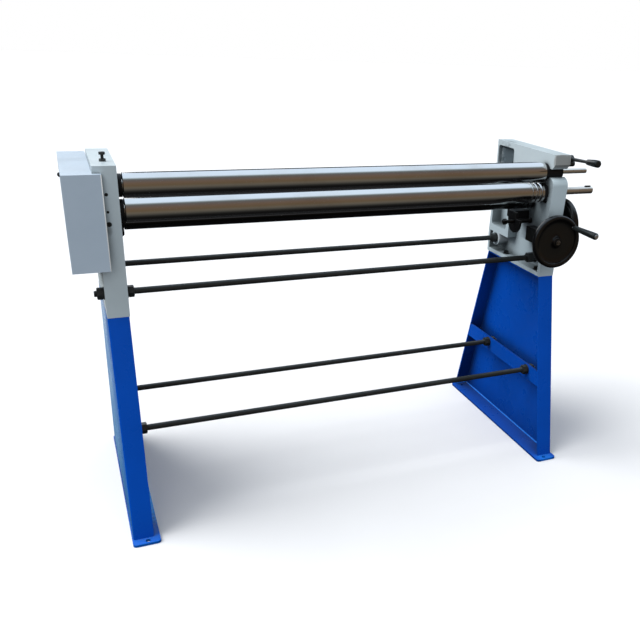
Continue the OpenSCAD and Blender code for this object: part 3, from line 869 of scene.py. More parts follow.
@dataclass
class Stand:
    """Folded channel stand with its foot plate, strap and weld beads."""

    side: Side
    plate: float = 0.006
    bend: float = 0.004
    inner_bend: float = 0.0008
    bend_faces: int = 5
    lap: float = 0.0005
    levels: int = 7
    strap_lap: float = 0.0005
    strap_edge: float = 0.0012
    strap_shortest: float = 0.1
    top_band: float = 0.0001
    foot_edge: float = 0.0015
    foot: float = 0.008
    bead: float = 0.0035
    bead_step: float = 0.003

    def build(self) -> None:
        """Folds the channel, welds it to its foot and adds the strap."""
        place = self.place()
        self.fold(place)
        self.weld(place)
        self.strap(place)
        self.foot_plate()

    def name(self, part: str) -> str:
        """Name of a part on this side."""
        return f"{self.side.value}_{part}"

    def place(self) -> Channel:
        """Reads the channel's place.

        Returns:
            The place, with the web flush with the casting above it.
        """
        low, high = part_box(self.name("stand"))
        frame_low, frame_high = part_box(self.name("end_frame"))
        outer, inner = frame_low.x - self.lap, high.x
        if self.side is Side.RIGHT:
            outer, inner = frame_high.x + self.lap, low.x
        top = [v.co.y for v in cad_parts[self.name("stand")].data.vertices
               if v.co.z > high.z - self.top_band]
        return Channel(outer, inner, low, high, min(top), max(top))

    def section(self, place: Channel, z: float) -> list[tuple[float, float]]:
        """Section of the folded plate at a height.

        Args:
            place: The channel's place.
            z: The height.

        Returns:
            X and Y of its outer skin, then of its inner skin backwards.
        """
        front, back = place.flanges(z)
        skins = []
        turns = [90 * i / self.bend_faces for i in range(self.bend_faces + 1)]
        for depth, radius in ((0.0, self.bend), (self.plate, self.inner_bend)):
            points = [(place.inner, front + depth)]
            for y, start in ((front + depth + radius, -90), (back - depth - radius, 180)):
                points += [
                    (place.outer + place.way * (depth + radius + radius * math.cos(a)),
                     y + radius * math.sin(a))
                    for a in (math.radians(start - turn) for turn in turns)
                ]
            skins.append([*points, (place.inner, back - depth)])
        return skins[0] + skins[1][::-1]

    def fold(self, place: Channel) -> None:
        """Lofts the folded plate from the foot to the top, and lays a lid in it.

        Args:
            place: The channel's place.
        """
        bm = bmesh.new()
        rings = []
        for k in range(self.levels):
            z = place.low.z + (place.high.z - place.low.z) * k / (self.levels - 1)
            rings.append([bm.verts.new((x, y, z)) for x, y in self.section(place, z)])
        skin(bm, rings)
        count = len(rings[0])
        for ring in (rings[0], rings[-1]):
            for i in range(count // 2 - 1):
                bm.faces.new((ring[i], ring[i + 1], ring[count - 2 - i], ring[count - 1 - i]))
        x0, x1 = sorted((place.outer + place.way * self.plate,
                         place.inner - place.way * self.inner_bend))
        y0, y1 = place.top_front + self.plate, place.top_back - self.plate
        prism(bm, *([(x0, y0, z), (x1, y0, z), (x1, y1, z), (x0, y1, z)]
                    for z in (place.high.z - self.plate, place.high.z)))
        keep(self.name("stand_channel"), bm, BLUE, Body.FRAME, (self.name("stand"),),
             mirrored=False)

    def weld(self, place: Channel) -> None:
        """Lays a rippled weld bead inside the channel where it meets the foot plate.

        Args:
            place: The channel's place.
        """
        web = place.outer + place.way * self.plate
        front, back = place.low.y + self.plate, place.high.y - self.plate
        wave, beat, uneven, tail, flat, sides = 0.22, 1.9, 0.14, 0.4, 0.9, 8
        draw = random.Random(7 if self.side is Side.LEFT else 11)
        bm = bmesh.new()
        for start, end in (
            ((web, front), (web, back)), ((web, front), (place.inner, front)),
            ((web, back), (place.inner, back)),
        ):
            start, end = Vector((*start, self.foot)), Vector((*end, self.foot))
            steps = max(8, int((end - start).length / self.bead_step))
            direction = (end - start).normalized()
            across = Vector((direction.y, direction.x, 0)).normalized()
            rings = []
            for i in range(steps + 1):
                size = self.bead * (1 + wave * math.sin(i * beat) + draw.uniform(-uneven, uneven))
                if i in (0, steps):
                    size *= tail
                point = start + (end - start) * (i / steps)
                rings.append([
                    bm.verts.new(point + across * math.cos(a) * size
                                 + Vector((0, 0, 1)) * math.sin(a) * size * flat)
                    for a in (2 * math.pi * j / sides for j in range(sides))
                ])
            bm.faces.new(rings[0])
            skin(bm, rings)
            bm.faces.new(rings[-1])
        # The bead's lighter enamel is a painted highlight.
        keep(self.name("stand_weld"), bm, LIT_WELD_BLUE, Body.FRAME, crease=80, mirrored=False)

    def strap(self, place: Channel) -> None:
        """Sets the strap between the flanges, a little behind their free edges.

        Args:
            place: The channel's place.
        """
        low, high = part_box(self.name("strap"))
        corners = [
            (place.flanges(z)[end] + (self.plate, -self.plate)[end], z)
            for z, end in ((low.z, 0), (low.z, 1), (high.z, 1), (high.z, 0))
        ]
        bm = bmesh.new()
        prism(bm, *([(place.inner - place.way * depth, y, z) for y, z in corners]
                    for depth in (STRAP_INSET + self.strap_lap, self.strap_lap)))
        bmesh.ops.recalc_face_normals(bm, faces=bm.faces)
        long_edges = [e for e in bm.edges
                      if abs(e.verts[0].co.y - e.verts[1].co.y) > self.strap_shortest]
        bmesh.ops.bevel(bm, geom=long_edges, offset=self.strap_edge, segments=2, affect="EDGES")
        keep(self.name("strap_plate"), bm, BLUE, Body.FRAME, (self.name("strap"),), mirrored=False)

    def foot_plate(self) -> None:
        """Dresses the foot plate, with painted light: paler where light falls on it past the web
        and at its toe.
        """
        node = self.name("foot_plate")
        low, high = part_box(node)
        # Painted light: the toe, and on the left the strip past the web, are painted paler where
        # light falls on them.
        toe = (middle(node).x, low.y + 0.01, high.z)
        pale = [StainOrPaintedLight(toe, 0.046, strength=0.75, tone=LIT_BLUE)]
        if self.side is Side.LEFT:
            heel = (high.x, low.y + 0.30, high.z)
            pale = [StainOrPaintedLight(toe, 0.30, strength=0.45, tone=LIT_BLUE),
                    StainOrPaintedLight(heel, 0.26, (7.0, 1.0, 1.0), 1.0, LIT_PALE_BLUE)]
        finish = replace(BLUE, name=f"blue_enamel_{self.name('foot')}", stains_and_painted_light=tuple(pale))
        dress(node, finish, self.foot_edge).visible_glossy = False


@dataclass
class EndFrames:
    """Two cast end frames with their bolts, the set bolt and the grub screws."""

    edge: float = 0.0016
    hole_inset: float = 0.030
    holes: Outline = ((0.074, 0.0045), (0.120, 0.0035), (0.153, 0.0065))
    head: float = 0.017
    washer: float = 0.012
    washer_thick: float = 0.002
    set_bolt_radius: float = 0.004
    set_bolt_pitch: float = 0.00125
    nut_thick: float = 0.007

    def build(self) -> None:
        """Rounds the castings and makes the bolts and screws."""
        holes = self.front_holes()
        seat, radius = holes[-1]
        oil = (StainOrPaintedLight(tuple(seat), radius * 1.5),
               StainOrPaintedLight((seat.x, seat.y, seat.z - 0.016), radius * 1.3, (1.0, 1.0, 0.35), 0.35))
        dress("left_end_frame", replace(GREY, name="grey_casting_enamel_left", stains_and_painted_light=oil),
              self.edge, 3)
        dress("right_end_frame", replace(SHADED_RIGHT_GREY, stains_and_painted_light=self.inner_patches()), self.edge, 3)
        self.bolts()
        self.set_bolt()
        self.grub_screws(holes)

    def inner_patches(self) -> tuple[StainOrPaintedLight, ...]:
        """Finds where the right casting's inner face is darker round the roll bearings, and where
        light is painted on the boss round the back rod.

        Returns:
            Patches on its inner face.
        """
        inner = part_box("right_end_frame")[0].x
        rod = middle("upper_back_tie_rod")
        # Darker patches round the lower and rear roll bearings.
        rolls = [StainOrPaintedLight((inner, middle(roll).y, middle(roll).z), 0.052, (0.6, 1.0, 1.0), 0.93)
                 for roll in ("lower_roll", "rear_roll")]
        # Painted light: a paler patch on the boss round the back rod, where light falls on it.
        boss = (inner + 0.016, rod.y - 0.028, rod.z + 0.006)
        return (*rolls, StainOrPaintedLight(boss, 0.026, (0.6, 1.0, 0.9), 0.75, LIT_GREY))

    def front_holes(self) -> list[tuple[Vector, float]]:
        """Finds the three holes in the left casting's front.

        Returns:
            The middle of each hole's mouth and its radius, from the top down.
        """
        low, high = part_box("left_end_frame")
        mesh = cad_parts["left_end_frame"].data
        tree = BVHTree.FromPolygons([v.co for v in mesh.vertices],
                                    [tuple(p.vertices) for p in mesh.polygons])
        found = []
        for drop, radius in self.holes:
            start = Vector((high.x - self.hole_inset, low.y - 0.1, high.z - drop))
            clear = Vector((0, 0, 2 * radius))
            above = tree.ray_cast(start + clear, Vector((0, 1, 0)))[0]
            under = tree.ray_cast(start - clear, Vector((0, 1, 0)))[0]
            found.append(((above + under) / 2, radius))
        return found

    def grub_screws(self, holes: Sequence[tuple[Vector, float]]) -> None:
        """Sets a grub screw with a hexagon socket just inside each hole.

        Args:
            holes: Mouth and radius of each hole.
        """
        bm = bmesh.new()
        for seat, hole in holes:
            r, chamfer = hole - 0.0002, 0.0004
            deep = seat.copy()
            deep.y += 0.0012 + hole * 0.25
            turned(bm, deep, Axis.Y, [
                (hole * 0.9, 0), (hole * 0.6, hole * 0.42), (0.0002, hole * 0.48), (0, hole * 0.52),
                (0, r - chamfer), (chamfer, r), (0.008, r), (0.008, 0),
            ], 30)
        keep("left_front_grub_screws", bm, ROD_BLACK, Body.FRAME)

    def bolts(self) -> None:
        """Makes the hexagon bolts on the base flanges, with their washers."""
        low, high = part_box("end_frame_bolts")
        r, thick, bore, chamfer = self.washer, self.washer_thick, self.washer / 2, 0.0004
        bm = bmesh.new()
        for x in (low.x + r, high.x - r):
            for y in (low.y + r, high.y - r):
                foot = Vector((x, y, low.z))
                closed_turned(bm, foot, Axis.Z, [
                    (0, bore), (0, r), (thick - 0.0003, r), (thick, r - chamfer), (thick, bore),
                ], 40)
                hexagon(bm, foot, Axis.Z, self.head, thick, high.z - low.z, seated=True)
        keep("end_frame_bolt_heads", bm, OILED, Body.FRAME, ("end_frame_bolts",))

    def set_bolt(self) -> None:
        """Makes the set bolt and lock nut on the left casting."""
        low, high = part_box("top_adjusting_bolt")
        foot = middle("top_adjusting_bolt")
        foot.z = low.z
        tall = high.z - low.z
        core, neck = self.set_bolt_radius - 0.0004, tall - 0.006
        thread = threaded(0.0005, tall - self.nut_thick, self.set_bolt_radius, self.set_bolt_pitch)
        bm = bmesh.new()
        turned(bm, foot, Axis.Z, [(0, 0), (0, core), *thread, (neck, core), (neck, 0)], 28)
        hexagon(bm, foot, Axis.Z, 0.0145, 0.0, self.nut_thick, 0.0035)
        hexagon(bm, foot, Axis.Z, 0.0135, tall - self.nut_thick, tall, seated=True)
        keep("set_bolt_and_nut", bm, ROD_BLACK, Body.FRAME, ("top_adjusting_bolt",))


@dataclass
class GearCover:
    """Sheet cover over the gears, with its screw and its hem."""

    edge: float = 0.0012
    hem_radius: float = 0.0016
    hem_gap: float = 0.001
    screw_rim: float = 0.0012

    def build(self) -> None:
        """Dresses the sheet and adds the screw and the hem."""
        dress("gear_cover", SHEET, self.edge)
        self.screw()
        self.hem()

    def hem(self) -> None:
        """Adds the rolled hem along the lip's free edge, in a pale colour."""
        low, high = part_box("gear_cover")
        r, round_end = self.hem_radius, 0.0006
        length = high.z - low.z - 2 * self.hem_gap
        foot = Vector((high.x - r * 0.4, low.y + r * 0.75, low.z + self.hem_gap))
        bm = bmesh.new()
        turned(bm, foot, Axis.Z, [
            (0, 0), (0, r * 0.8), (round_end, r), (length - round_end, r), (length, r * 0.8),
            (length, 0),
        ], 20)
        keep("gear_cover_hem", bm, PALE_HEM, Body.FRAME)

    def screw(self) -> None:
        """Makes the domed screw that holds the cover."""
        low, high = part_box("cover_screw")
        seat = middle("cover_screw")
        seat.x = high.x
        thick, radius, rim = high.x - low.x, (high.z - low.z) / 2, self.screw_rim
        bm = bmesh.new()
        turned(bm, seat, Axis.X, [
            (0, 0), (0, radius), (-rim, radius),
            *arc((-rim, 0), rim - thick, radius, range(75, 0, -15)),
            (-thick, 0.0006), (-thick, 0),
        ], 32)
        keep("cover_screw_head", bm, ROD_BLACK, Body.FRAME, ("cover_screw",))


@dataclass
class TieRods:
    """Four tie rods with their nuts and washers."""

    radius: float = 0.009
    chamfer: float = 0.0015
    thread: float = 0.058
    run_out: float = 0.0012
    pitch: float = 0.0025
    flats: float = 0.030
    washer: float = 0.018
    washer_thick: float = 0.003
    washer_slack: float = 0.0004

    def build(self) -> None:
        """Makes each rod with threaded ends, then the nuts."""
        rods = [f"{level}_{place}_tie_rod" for level in ("upper", "lower")
                for place in ("front", "back")]
        r, tip = self.radius, self.radius - self.chamfer
        for rod in rods:
            low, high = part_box(rod)
            half = (high.x - low.x) / 2 + (STRAP_INSET if rod.startswith("lower") else 0)
            start = half - self.thread
            bm = bmesh.new()
            turned(bm, middle(rod), Axis.X, [
                (-half, 0), (-half, tip), *threaded(self.run_out - half, -start, r, self.pitch),
                (0.001 - start, r), (start - 0.001, r),
                *threaded(start, half - self.run_out, r, self.pitch), (half, tip), (half, 0),
            ], 40)
            keep(f"{rod}_threaded", bm, ROD_BLACK, Body.FRAME, (rod,), 28)
        self.nuts(rods)

    def nuts(self, rods: Sequence[str]) -> None:
        """Makes the nuts from the solids of the frame's node.

        Args:
            rods: Names of the rods that carry them.
        """
        bm = bmesh.new()
        for low, high in loose_boxes("tie_rod_nuts"):
            centre = (low + high) / 2
            rod = min(rods, key=lambda n: (middle(n) - centre).yz.length)
            away = math.copysign(STRAP_INSET, low.x) if rod.startswith("lower") else 0
            centre = Vector((away, middle(rod).y, middle(rod).z))
            washer = (low.x, low.x + self.washer_thick)
            nut = (washer[1], high.x)
            if not self.seat_is_low(low, high):
                washer = (high.x - self.washer_thick, high.x)
                nut = (low.x, washer[0])
            closed_turned(bm, centre, Axis.X, [
                (washer[0], self.radius), (washer[0], self.washer), (washer[1], self.washer),
                (washer[1], self.radius),
            ], 48)
            hexagon(bm, centre, Axis.X, self.flats, nut[0], nut[1], self.radius)
        keep("tie_rod_hexagon_nuts", bm, ROD_BLACK, Body.FRAME, ("tie_rod_nuts",))

    def seat_is_low(self, low: Vector, high: Vector) -> bool:
        """Whether a nut's washer is at its low X end.

        Args:
            low: Lowest corner of the nut's box.
            high: Highest corner of the nut's box.

        Returns:
            True where the washer is at low.x.
        """
        centre = (low + high) / 2
        wide = [
            v.co.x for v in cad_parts["tie_rod_nuts"].data.vertices
            if low.x - SAME_FRAME_POINT < v.co.x < high.x + SAME_FRAME_POINT
            and abs((v.co - centre).yz.length - self.washer) < self.washer_slack
        ]
        return sum(wide) / len(wide) < centre.x


@dataclass
class Rolls:
    """The three ground rolls with their journals and shaft ends."""

    radius: float = 0.033
    journal: float = 0.015
    gear_seat: float = 0.0128
    rim: float = 0.0012
    chamfer: float = 0.001
    grooves: Outline = ((0.048, 0.003), (0.031, 0.004), (0.014, 0.005))
    key_length: float = 0.024
    key_round: float = 0.004
    key_depth: float = 0.0068
    key_end: float = 0.0045
    key_top: float = 0.0152
    tooth_edge: float = 0.0005
    sides: int = 128

    def build(self) -> None:
        """Makes each roll as a ground body and turned journals."""
        ground = self.ground_ends("top_roll")
        for name, body, finish, grooved in (
            ("top_roll", Body.TOP_ROLL, ROLL, False),
            ("lower_roll", Body.LOWER_ROLL, ROLL, True),
            # The rear roll's darker steel is painted shade.
            ("rear_roll", Body.REAR_ROLL, DARK_ROLL, True),
        ):
            self.roll(name, body, ground, finish, grooved)
        for gear in ("top_roll_gear", "lower_roll_gear"):
            dress(gear, OILED, self.tooth_edge)

    def ground_ends(self, name: str) -> tuple[float, float]:
        """Reads where a roll's ground body starts and ends.

        Args:
            name: Node of the roll.

        Returns:
            X of its left and right end.
        """
        centre = middle(name)
        wide = [v.co.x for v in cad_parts[name].data.vertices
                if (v.co - centre).yz.length > self.radius - 0.001]
        return min(wide), max(wide)

    def roll(
        self, name: str, body: Body, ground: tuple[float, float], finish: Finish, grooved: bool
    ) -> None:
        """Makes one roll.

        Args:
            name: Node that it stands for.
            body: Body that carries it.
            ground: X of both ends of the ground body.
            finish: Finish of the ground body.
            grooved: Whether it has the wire grooves.
        """
        low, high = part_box(name)
        centre = Vector((0, middle(name).y, middle(name).z))
        r, rim = self.radius, self.rim
        bm = bmesh.new()
        for end, way in zip(ground, (1, -1)):
            turned(bm, centre, Axis.X, [
                (end, self.journal - 0.0005), (end, r - rim), (end + way * rim, r),
            ], self.sides)
        keep(f"{name}_end_faces", bm, OILED, body, crease=30, mirrored=False)
        outline = [(ground[0] + rim, r)]
        for place, size in self.grooves if grooved else ():
            x, lip = ground[1] - place, size + 0.0003
            outline += [(x - lip, r), *arc((x, r), -size, -size, range(0, 181, 18)), (x + lip, r)]
        outline.append((ground[1] - rim, r))
        bm = bmesh.new()
        turned(bm, centre, Axis.X, outline, self.sides)
        keep(f"{name}_ground_body", bm, finish, body, (name,), 30, mirrored=False)
        bm = bmesh.new()
        for outline in self.ends(name, (low.x, high.x), ground):
            turned(bm, centre, Axis.X, outline)
        keep(f"{name}_journals", bm, SHAFT, body, crease=30)
        if name == "lower_roll":
            self.key(centre, high.x)

    def ends(
        self, name: str, whole: tuple[float, float], ground: tuple[float, float]
    ) -> tuple[Outline, Outline]:
        """Outlines of a roll's two ends.

        Args:
            name: Node of the roll.
            whole: X of both ends of the whole roll.
            ground: X of both ends of the ground body.

        Returns:
            The outlines of the left and the right end.
        """
        low, high = whole
        j, c, seat = self.journal, self.chamfer, self.gear_seat
        if name == "rear_roll":
            return ([(low, 0), (low, j - c), (low + c, j), (ground[0], j)],
                    [(ground[1], j), (high - c, j), (high, j - c), (high, 0)])
        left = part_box("left_end_frame")[0].x
        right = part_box("right_end_frame")[1].x
        shaft = {"top_roll": 0.0085, "lower_roll": 0.012}[name]
        neck = shaft - 0.0008
        return (
            [(low + 0.003, 0), (low + 0.001, 0.002), (low, 0.003), (low, 0.0115), (low + c, seat),
             (left - 0.0005, seat), (left, j - c), (left + c, j), (ground[0], j)],
            [(ground[1], j), (right - c, j), (right, j - c), (right + 0.0002, neck),
             (right + 0.003, neck), (right + 0.0035, shaft), (high - c, shaft), (high, shaft - c),
             (high, 0.0025), (high - 0.003, 0.0012), (high - 0.003, 0)],
        )

    def key(self, centre: Vector, end: float) -> None:
        """Sets the key in the drive end's keyway.

        Args:
            centre: Point on the roll's axis.
            end: X of the shaft's end.
        """
        r, count = self.key_round, 24
        far = end - self.key_end
        ring = []
        for k in range(count):
            a = 2 * math.pi * k / count
            x = (far - r if math.cos(a) >= 0 else far - self.key_length + r) + r * math.cos(a)
            ring.append((x, centre.y + r * math.sin(a)))
        top = centre.z + self.key_top
        bm = bmesh.new()
        prism(bm, *([(x, y, z) for x, y in ring] for z in (top - self.key_depth, top)), floor=False)
        keep("drive_key", bm, OILED, Body.LOWER_ROLL, crease=30)


@dataclass
class Bearings:
    """Bushes, sliding blocks and the lifting gear."""

    block_edge: float = 0.0008
    housing_edge: float = 0.0015
    shaft_edge: float = 0.0006
    lug_half: float = 0.022
    lug_edge: float = 0.0007

    def build(self) -> None:
        """Dresses the black iron parts and adds the left block's lug."""
        for node in ("top_left_bush", "top_right_bearing", "lower_bearing_blocks",
                     "rear_bearing_blocks", "front_gear_box"):
            dress(node, IRON, self.block_edge)
        dress("lift_housing", IRON, self.housing_edge, 3)
        self.lug()
        dress("lift_stay_bolt", OILED, self.shaft_edge)
        dress("rear_lift_screw", OILED)
        dress("cam_shaft", OILED, self.shaft_edge)

    def lug(self) -> None:
        """Hangs the lifting lug from the left sliding block, under the bending roll."""
        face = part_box("left_end_frame")[1].x + 0.0002
        front, nose = face + 0.0115, face + 0.0075
        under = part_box("rear_roll")[0].z
        top, bevel, foot = under + 0.006, under - 0.009, under - 0.014
        centre = middle("rear_bearing_blocks").y
        outline = ((face, top), (front, top), (front, bevel), (nose, foot), (face, foot))
        bm = bmesh.new()
        prism(bm, *([(x, centre + y, z) for x, z in outline]
                    for y in (-self.lug_half, self.lug_half)))
        bmesh.ops.recalc_face_normals(bm, faces=bm.faces)
        bmesh.ops.bevel(bm, geom=bm.edges[:], offset=self.lug_edge, segments=2, affect="EDGES")
        keep("left_lift_lug", bm, IRON, Body.REAR_SLIDE, crease=30)


@dataclass
class ReleaseArm:
    """Hinged arm over the top roll's right end, with its pin and clamp."""

    edge: float = 0.002
    small_edge: float = 0.0008
    lever_tilt: float = 87.0
    lever_base: float = 0.0131
    lever_length: float = 0.085
    grip_length: float = 0.059
    grip_root: float = 0.0091
    grip_swell: float = 0.0026

    def build(self) -> None:
        """Rounds the arm and makes the clamp lever."""
        low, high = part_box("release_arm")
        # Painted shade: the nose's front is darkened brown and the pocket dark grey, where the arm
        # is in shade.
        nose = (middle("release_arm").x, low.y, high.z - 0.03)
        pocket = (low.x + 0.016, high.y - 0.062, high.z - 0.06)
        marks = (StainOrPaintedLight(nose, 0.062, (0.9, 3.6, 1.0), 0.62, NOSE_SHADE_BROWN),
                 StainOrPaintedLight(pocket, 0.090, (3.0, 1.0, 1.0), 0.97, POCKET_SHADE_GREY))
        dress("release_arm", replace(GREY, name="grey_casting_enamel_arm", stains_and_painted_light=marks),
              self.edge, 3)
        # The pin's darkened enamel is painted shade.
        dress("arm_hinge_pin", SHADED_PIN_GREY, self.small_edge)
        dress("clamp_shaft", ROD_BLACK, self.small_edge)
        self.boss()
        self.lever()

    def boss(self) -> None:
        """Adds the round cam boss below the lever's root."""
        end = middle("clamp_shaft")
        end.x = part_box("clamp_shaft")[1].x
        bm = bmesh.new()
        turned(bm, end - Vector((0.018, 0.004, 0.015)), Axis.X, [
            (0, 0), (0, 0.0085), (0.001, 0.0095), (0.021, 0.0095), (0.0235, 0.0082),
            (0.0245, 0.0055), (0.0245, 0),
        ], 40)
        keep("clamp_cam_boss", bm, ROD_BLACK, Body.CLAMP, crease=40)

    def lever(self) -> None:
        """Makes the tapered lever and its ridged grip."""
        base, end = self.lever_base, self.lever_base + self.lever_length
        self.on_lever("clamp_lever", "rod", ROD_BLACK, [
            (base - 0.002, 0), (base - 0.002, 0.0075), (base + 0.006, 0.0073),
            (base + 0.011, 0.0058), (base + 0.05, 0.0053), (end, 0.0050), (end, 0),
        ])
        steps, body = 9, self.grip_length - 0.010
        swell = [
            (end + 0.004 + body * t, self.grip_root + self.grip_swell * math.sin(1.57 * t))
            for t in (i / steps for i in range(1, steps))
        ]
        tip = end + self.grip_length
        self.on_lever("clamp_grip", "grip", GRIP, [
            (end, 0), (end, 0.0078), (end + 0.0015, 0.0089), (end + 0.004, self.grip_root), *swell,
            (tip - 0.003, 0.0116), (tip - 0.0008, 0.0098), (tip, 0.0068), (tip, 0),
        ])

    def on_lever(self, node: str, part: str, finish: Finish, outline: Outline) -> None:
        """Turns a piece of the lever round the lever's own direction.

        Args:
            node: Node that it stands for.
            part: Last word of its name.
            finish: Its finish.
            outline: Distances from the clamp's axis, and radii.
        """
        tilt = math.radians(self.lever_tilt)
        direction = Vector((0, -math.sin(tilt), math.cos(tilt)))
        across = Vector((1, 0, 0))
        matrix = Matrix((across, direction.cross(across), direction)).transposed().to_4x4()
        hub = middle("clamp_shaft")
        matrix.translation = Vector((middle("clamp_lever").x, hub.y, hub.z))
        bm = bmesh.new()
        turned(bm, Vector((0, 0, 0)), Axis.Z, outline, 40)
        bmesh.ops.transform(bm, matrix=matrix, verts=bm.verts)
        keep(f"clamp_lever_{part}", bm, finish, Body.CLAMP, (node,), 40)


@dataclass
class Handwheel:
    """Dished handwheel with a hub and a round rim."""

    node: str
    body: Body
    axis: Axis
    flip: bool
    radius: float = 0.0875
    thick: float = 0.022
    bore: float = 0.010
    hub: float = 0.0145
    rim: float = 0.0085
    back_edge: float = 0.0065

    def build(self) -> None:
        """Turns the wheel and puts it in the node's place."""
        low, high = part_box(self.node)
        centre = middle(self.node)
        index = 0 if self.axis is Axis.X else 1
        centre[index] = high[index] if self.flip else low[index]
        way = -1 if self.flip else 1
        bm = bmesh.new()
        closed_turned(bm, centre, self.axis, [(way * z, r) for z, r in self.outline()], 112)
        keep(f"{self.node}_moulding", bm, MOULDED, self.body, (self.node,), 50)

    def outline(self) -> Outline:
        """Section of the wheel from its bore outwards and back.

        Returns:
            Pairs of distance from the back face and radius.
        """
        r, t, bore, hub = self.radius, self.thick, self.bore, self.hub
        return [
            (0.0006, bore), (0, bore + 0.0006), (0, hub - 0.001), (0.001, hub),
            (0.003, hub + 0.003), (0.0035, hub + 0.008), (0.0035, r - 0.024), (0.0025, r - 0.019),
            *arc((self.back_edge, r - self.back_edge), -self.back_edge, self.back_edge,
                 range(-30, 91, 15)),
            *arc((t - self.rim, r - self.rim), self.rim, self.rim, range(90, -91, -15)),
            (0.0125, r - 0.0195), (0.0105, r - 0.023), (0.0098, r - 0.03), (0.0098, hub + 0.011),
            (0.0108, hub + 0.006), (0.014, hub + 0.0025), (t - 0.004, hub + 0.001),
            (t - 0.0015, hub - 0.0002), (t - 0.0003, hub - 0.0022), (t - 0.0003, bore + 0.0008),
            (t - 0.001, bore),
        ]


@dataclass
class FrontHandwheel:
    """Front handwheel with its shaft, hub bolt and crank handle."""

    shaft_edge: float = 0.0006
    bolt_radius: float = 0.005
    bolt_head: float = 0.0070
    sleeve_bore: float = 0.0062
    sleeve_round: float = 0.003
    sleeve_waist: float = 0.0022

    def build(self) -> None:
        """Makes the wheel, the shaft's end bolt and the turning handle."""
        Handwheel("front_wheel", Body.FRONT_WHEEL, Axis.Y, True).build()
        dress("front_wheel_shaft", IRON, self.shaft_edge)
        self.handle()
        self.handle_bolt()
        self.hub_bolt()

    def handle(self) -> None:
        """Turns the handle's sleeve, which narrows towards the wheel."""
        low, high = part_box("crank_handle")
        centre, length = front_end("crank_handle")
        r, bore, end = (high.x - low.x) / 2, self.sleeve_bore, self.sleeve_round
        steps = 12
        waist = [
            (end + (length - 2 * end) * t, r - self.sleeve_waist * math.sin(math.pi * t / 2) ** 2)
            for t in (i / steps for i in range(1, steps))
        ]
        bm = bmesh.new()
        closed_turned(bm, centre, Axis.Y, [
            (0.0006, bore), (0, bore + 0.001), (0, r - end),
            *arc((end, r - end), -end, end, (20, 40, 60, 80, 90)), *waist,
            (length - 0.002, r - 0.0026), (length, r - 0.0046), (length, bore),
        ], 56)
        keep("crank_handle_sleeve", bm, GRIP, Body.HANDLE, ("crank_handle",), 45)

    def handle_bolt(self) -> None:
        """Makes the bolt that the handle turns on, with a socket in its head."""
        centre, length = front_end("handle_bolt")
        shank, head = self.bolt_radius, self.bolt_head
        bm = bmesh.new()
        turned(bm, centre, Axis.Y, [
            (0.0026, 0), (0.0026, 0.0026), (0.0004, 0.0034), (0, 0.0040), (0, head - 0.0008),
            (0.0008, head), (0.003, head), (0.003, shank), (length, shank), (length, 0),
        ], 40)
        keep("handle_bolt_with_socket", bm, BOLT, Body.FRONT_WHEEL, ("handle_bolt",))

    def hub_bolt(self) -> None:
        """Makes the bolt and washer in the wheel's hub."""
        centre = middle("front_wheel")
        centre.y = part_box("front_wheel_shaft")[0].y
        seat, core = -0.0014, 0.003
        bm = bmesh.new()
        closed_turned(bm, centre, Axis.Y, [
            (seat, core), (seat, 0.0076), (0.0, 0.0078), (0.0, core),
        ], 36)
        turned(bm, centre, Axis.Y, [
            (-0.0035, 0), (-0.0035, 0.0024), (-0.0062, 0.0027), (-0.0064, 0.0042),
            (-0.0058, self.bolt_radius), (seat, self.bolt_radius), (seat, 0),
        ], 32)
        # The hub bolt's lighter steel is a painted highlight.
        keep("front_hub_bolt", bm, LIT_HUB, Body.FRONT_WHEEL)


# ---------------------------------------------------------------- studio


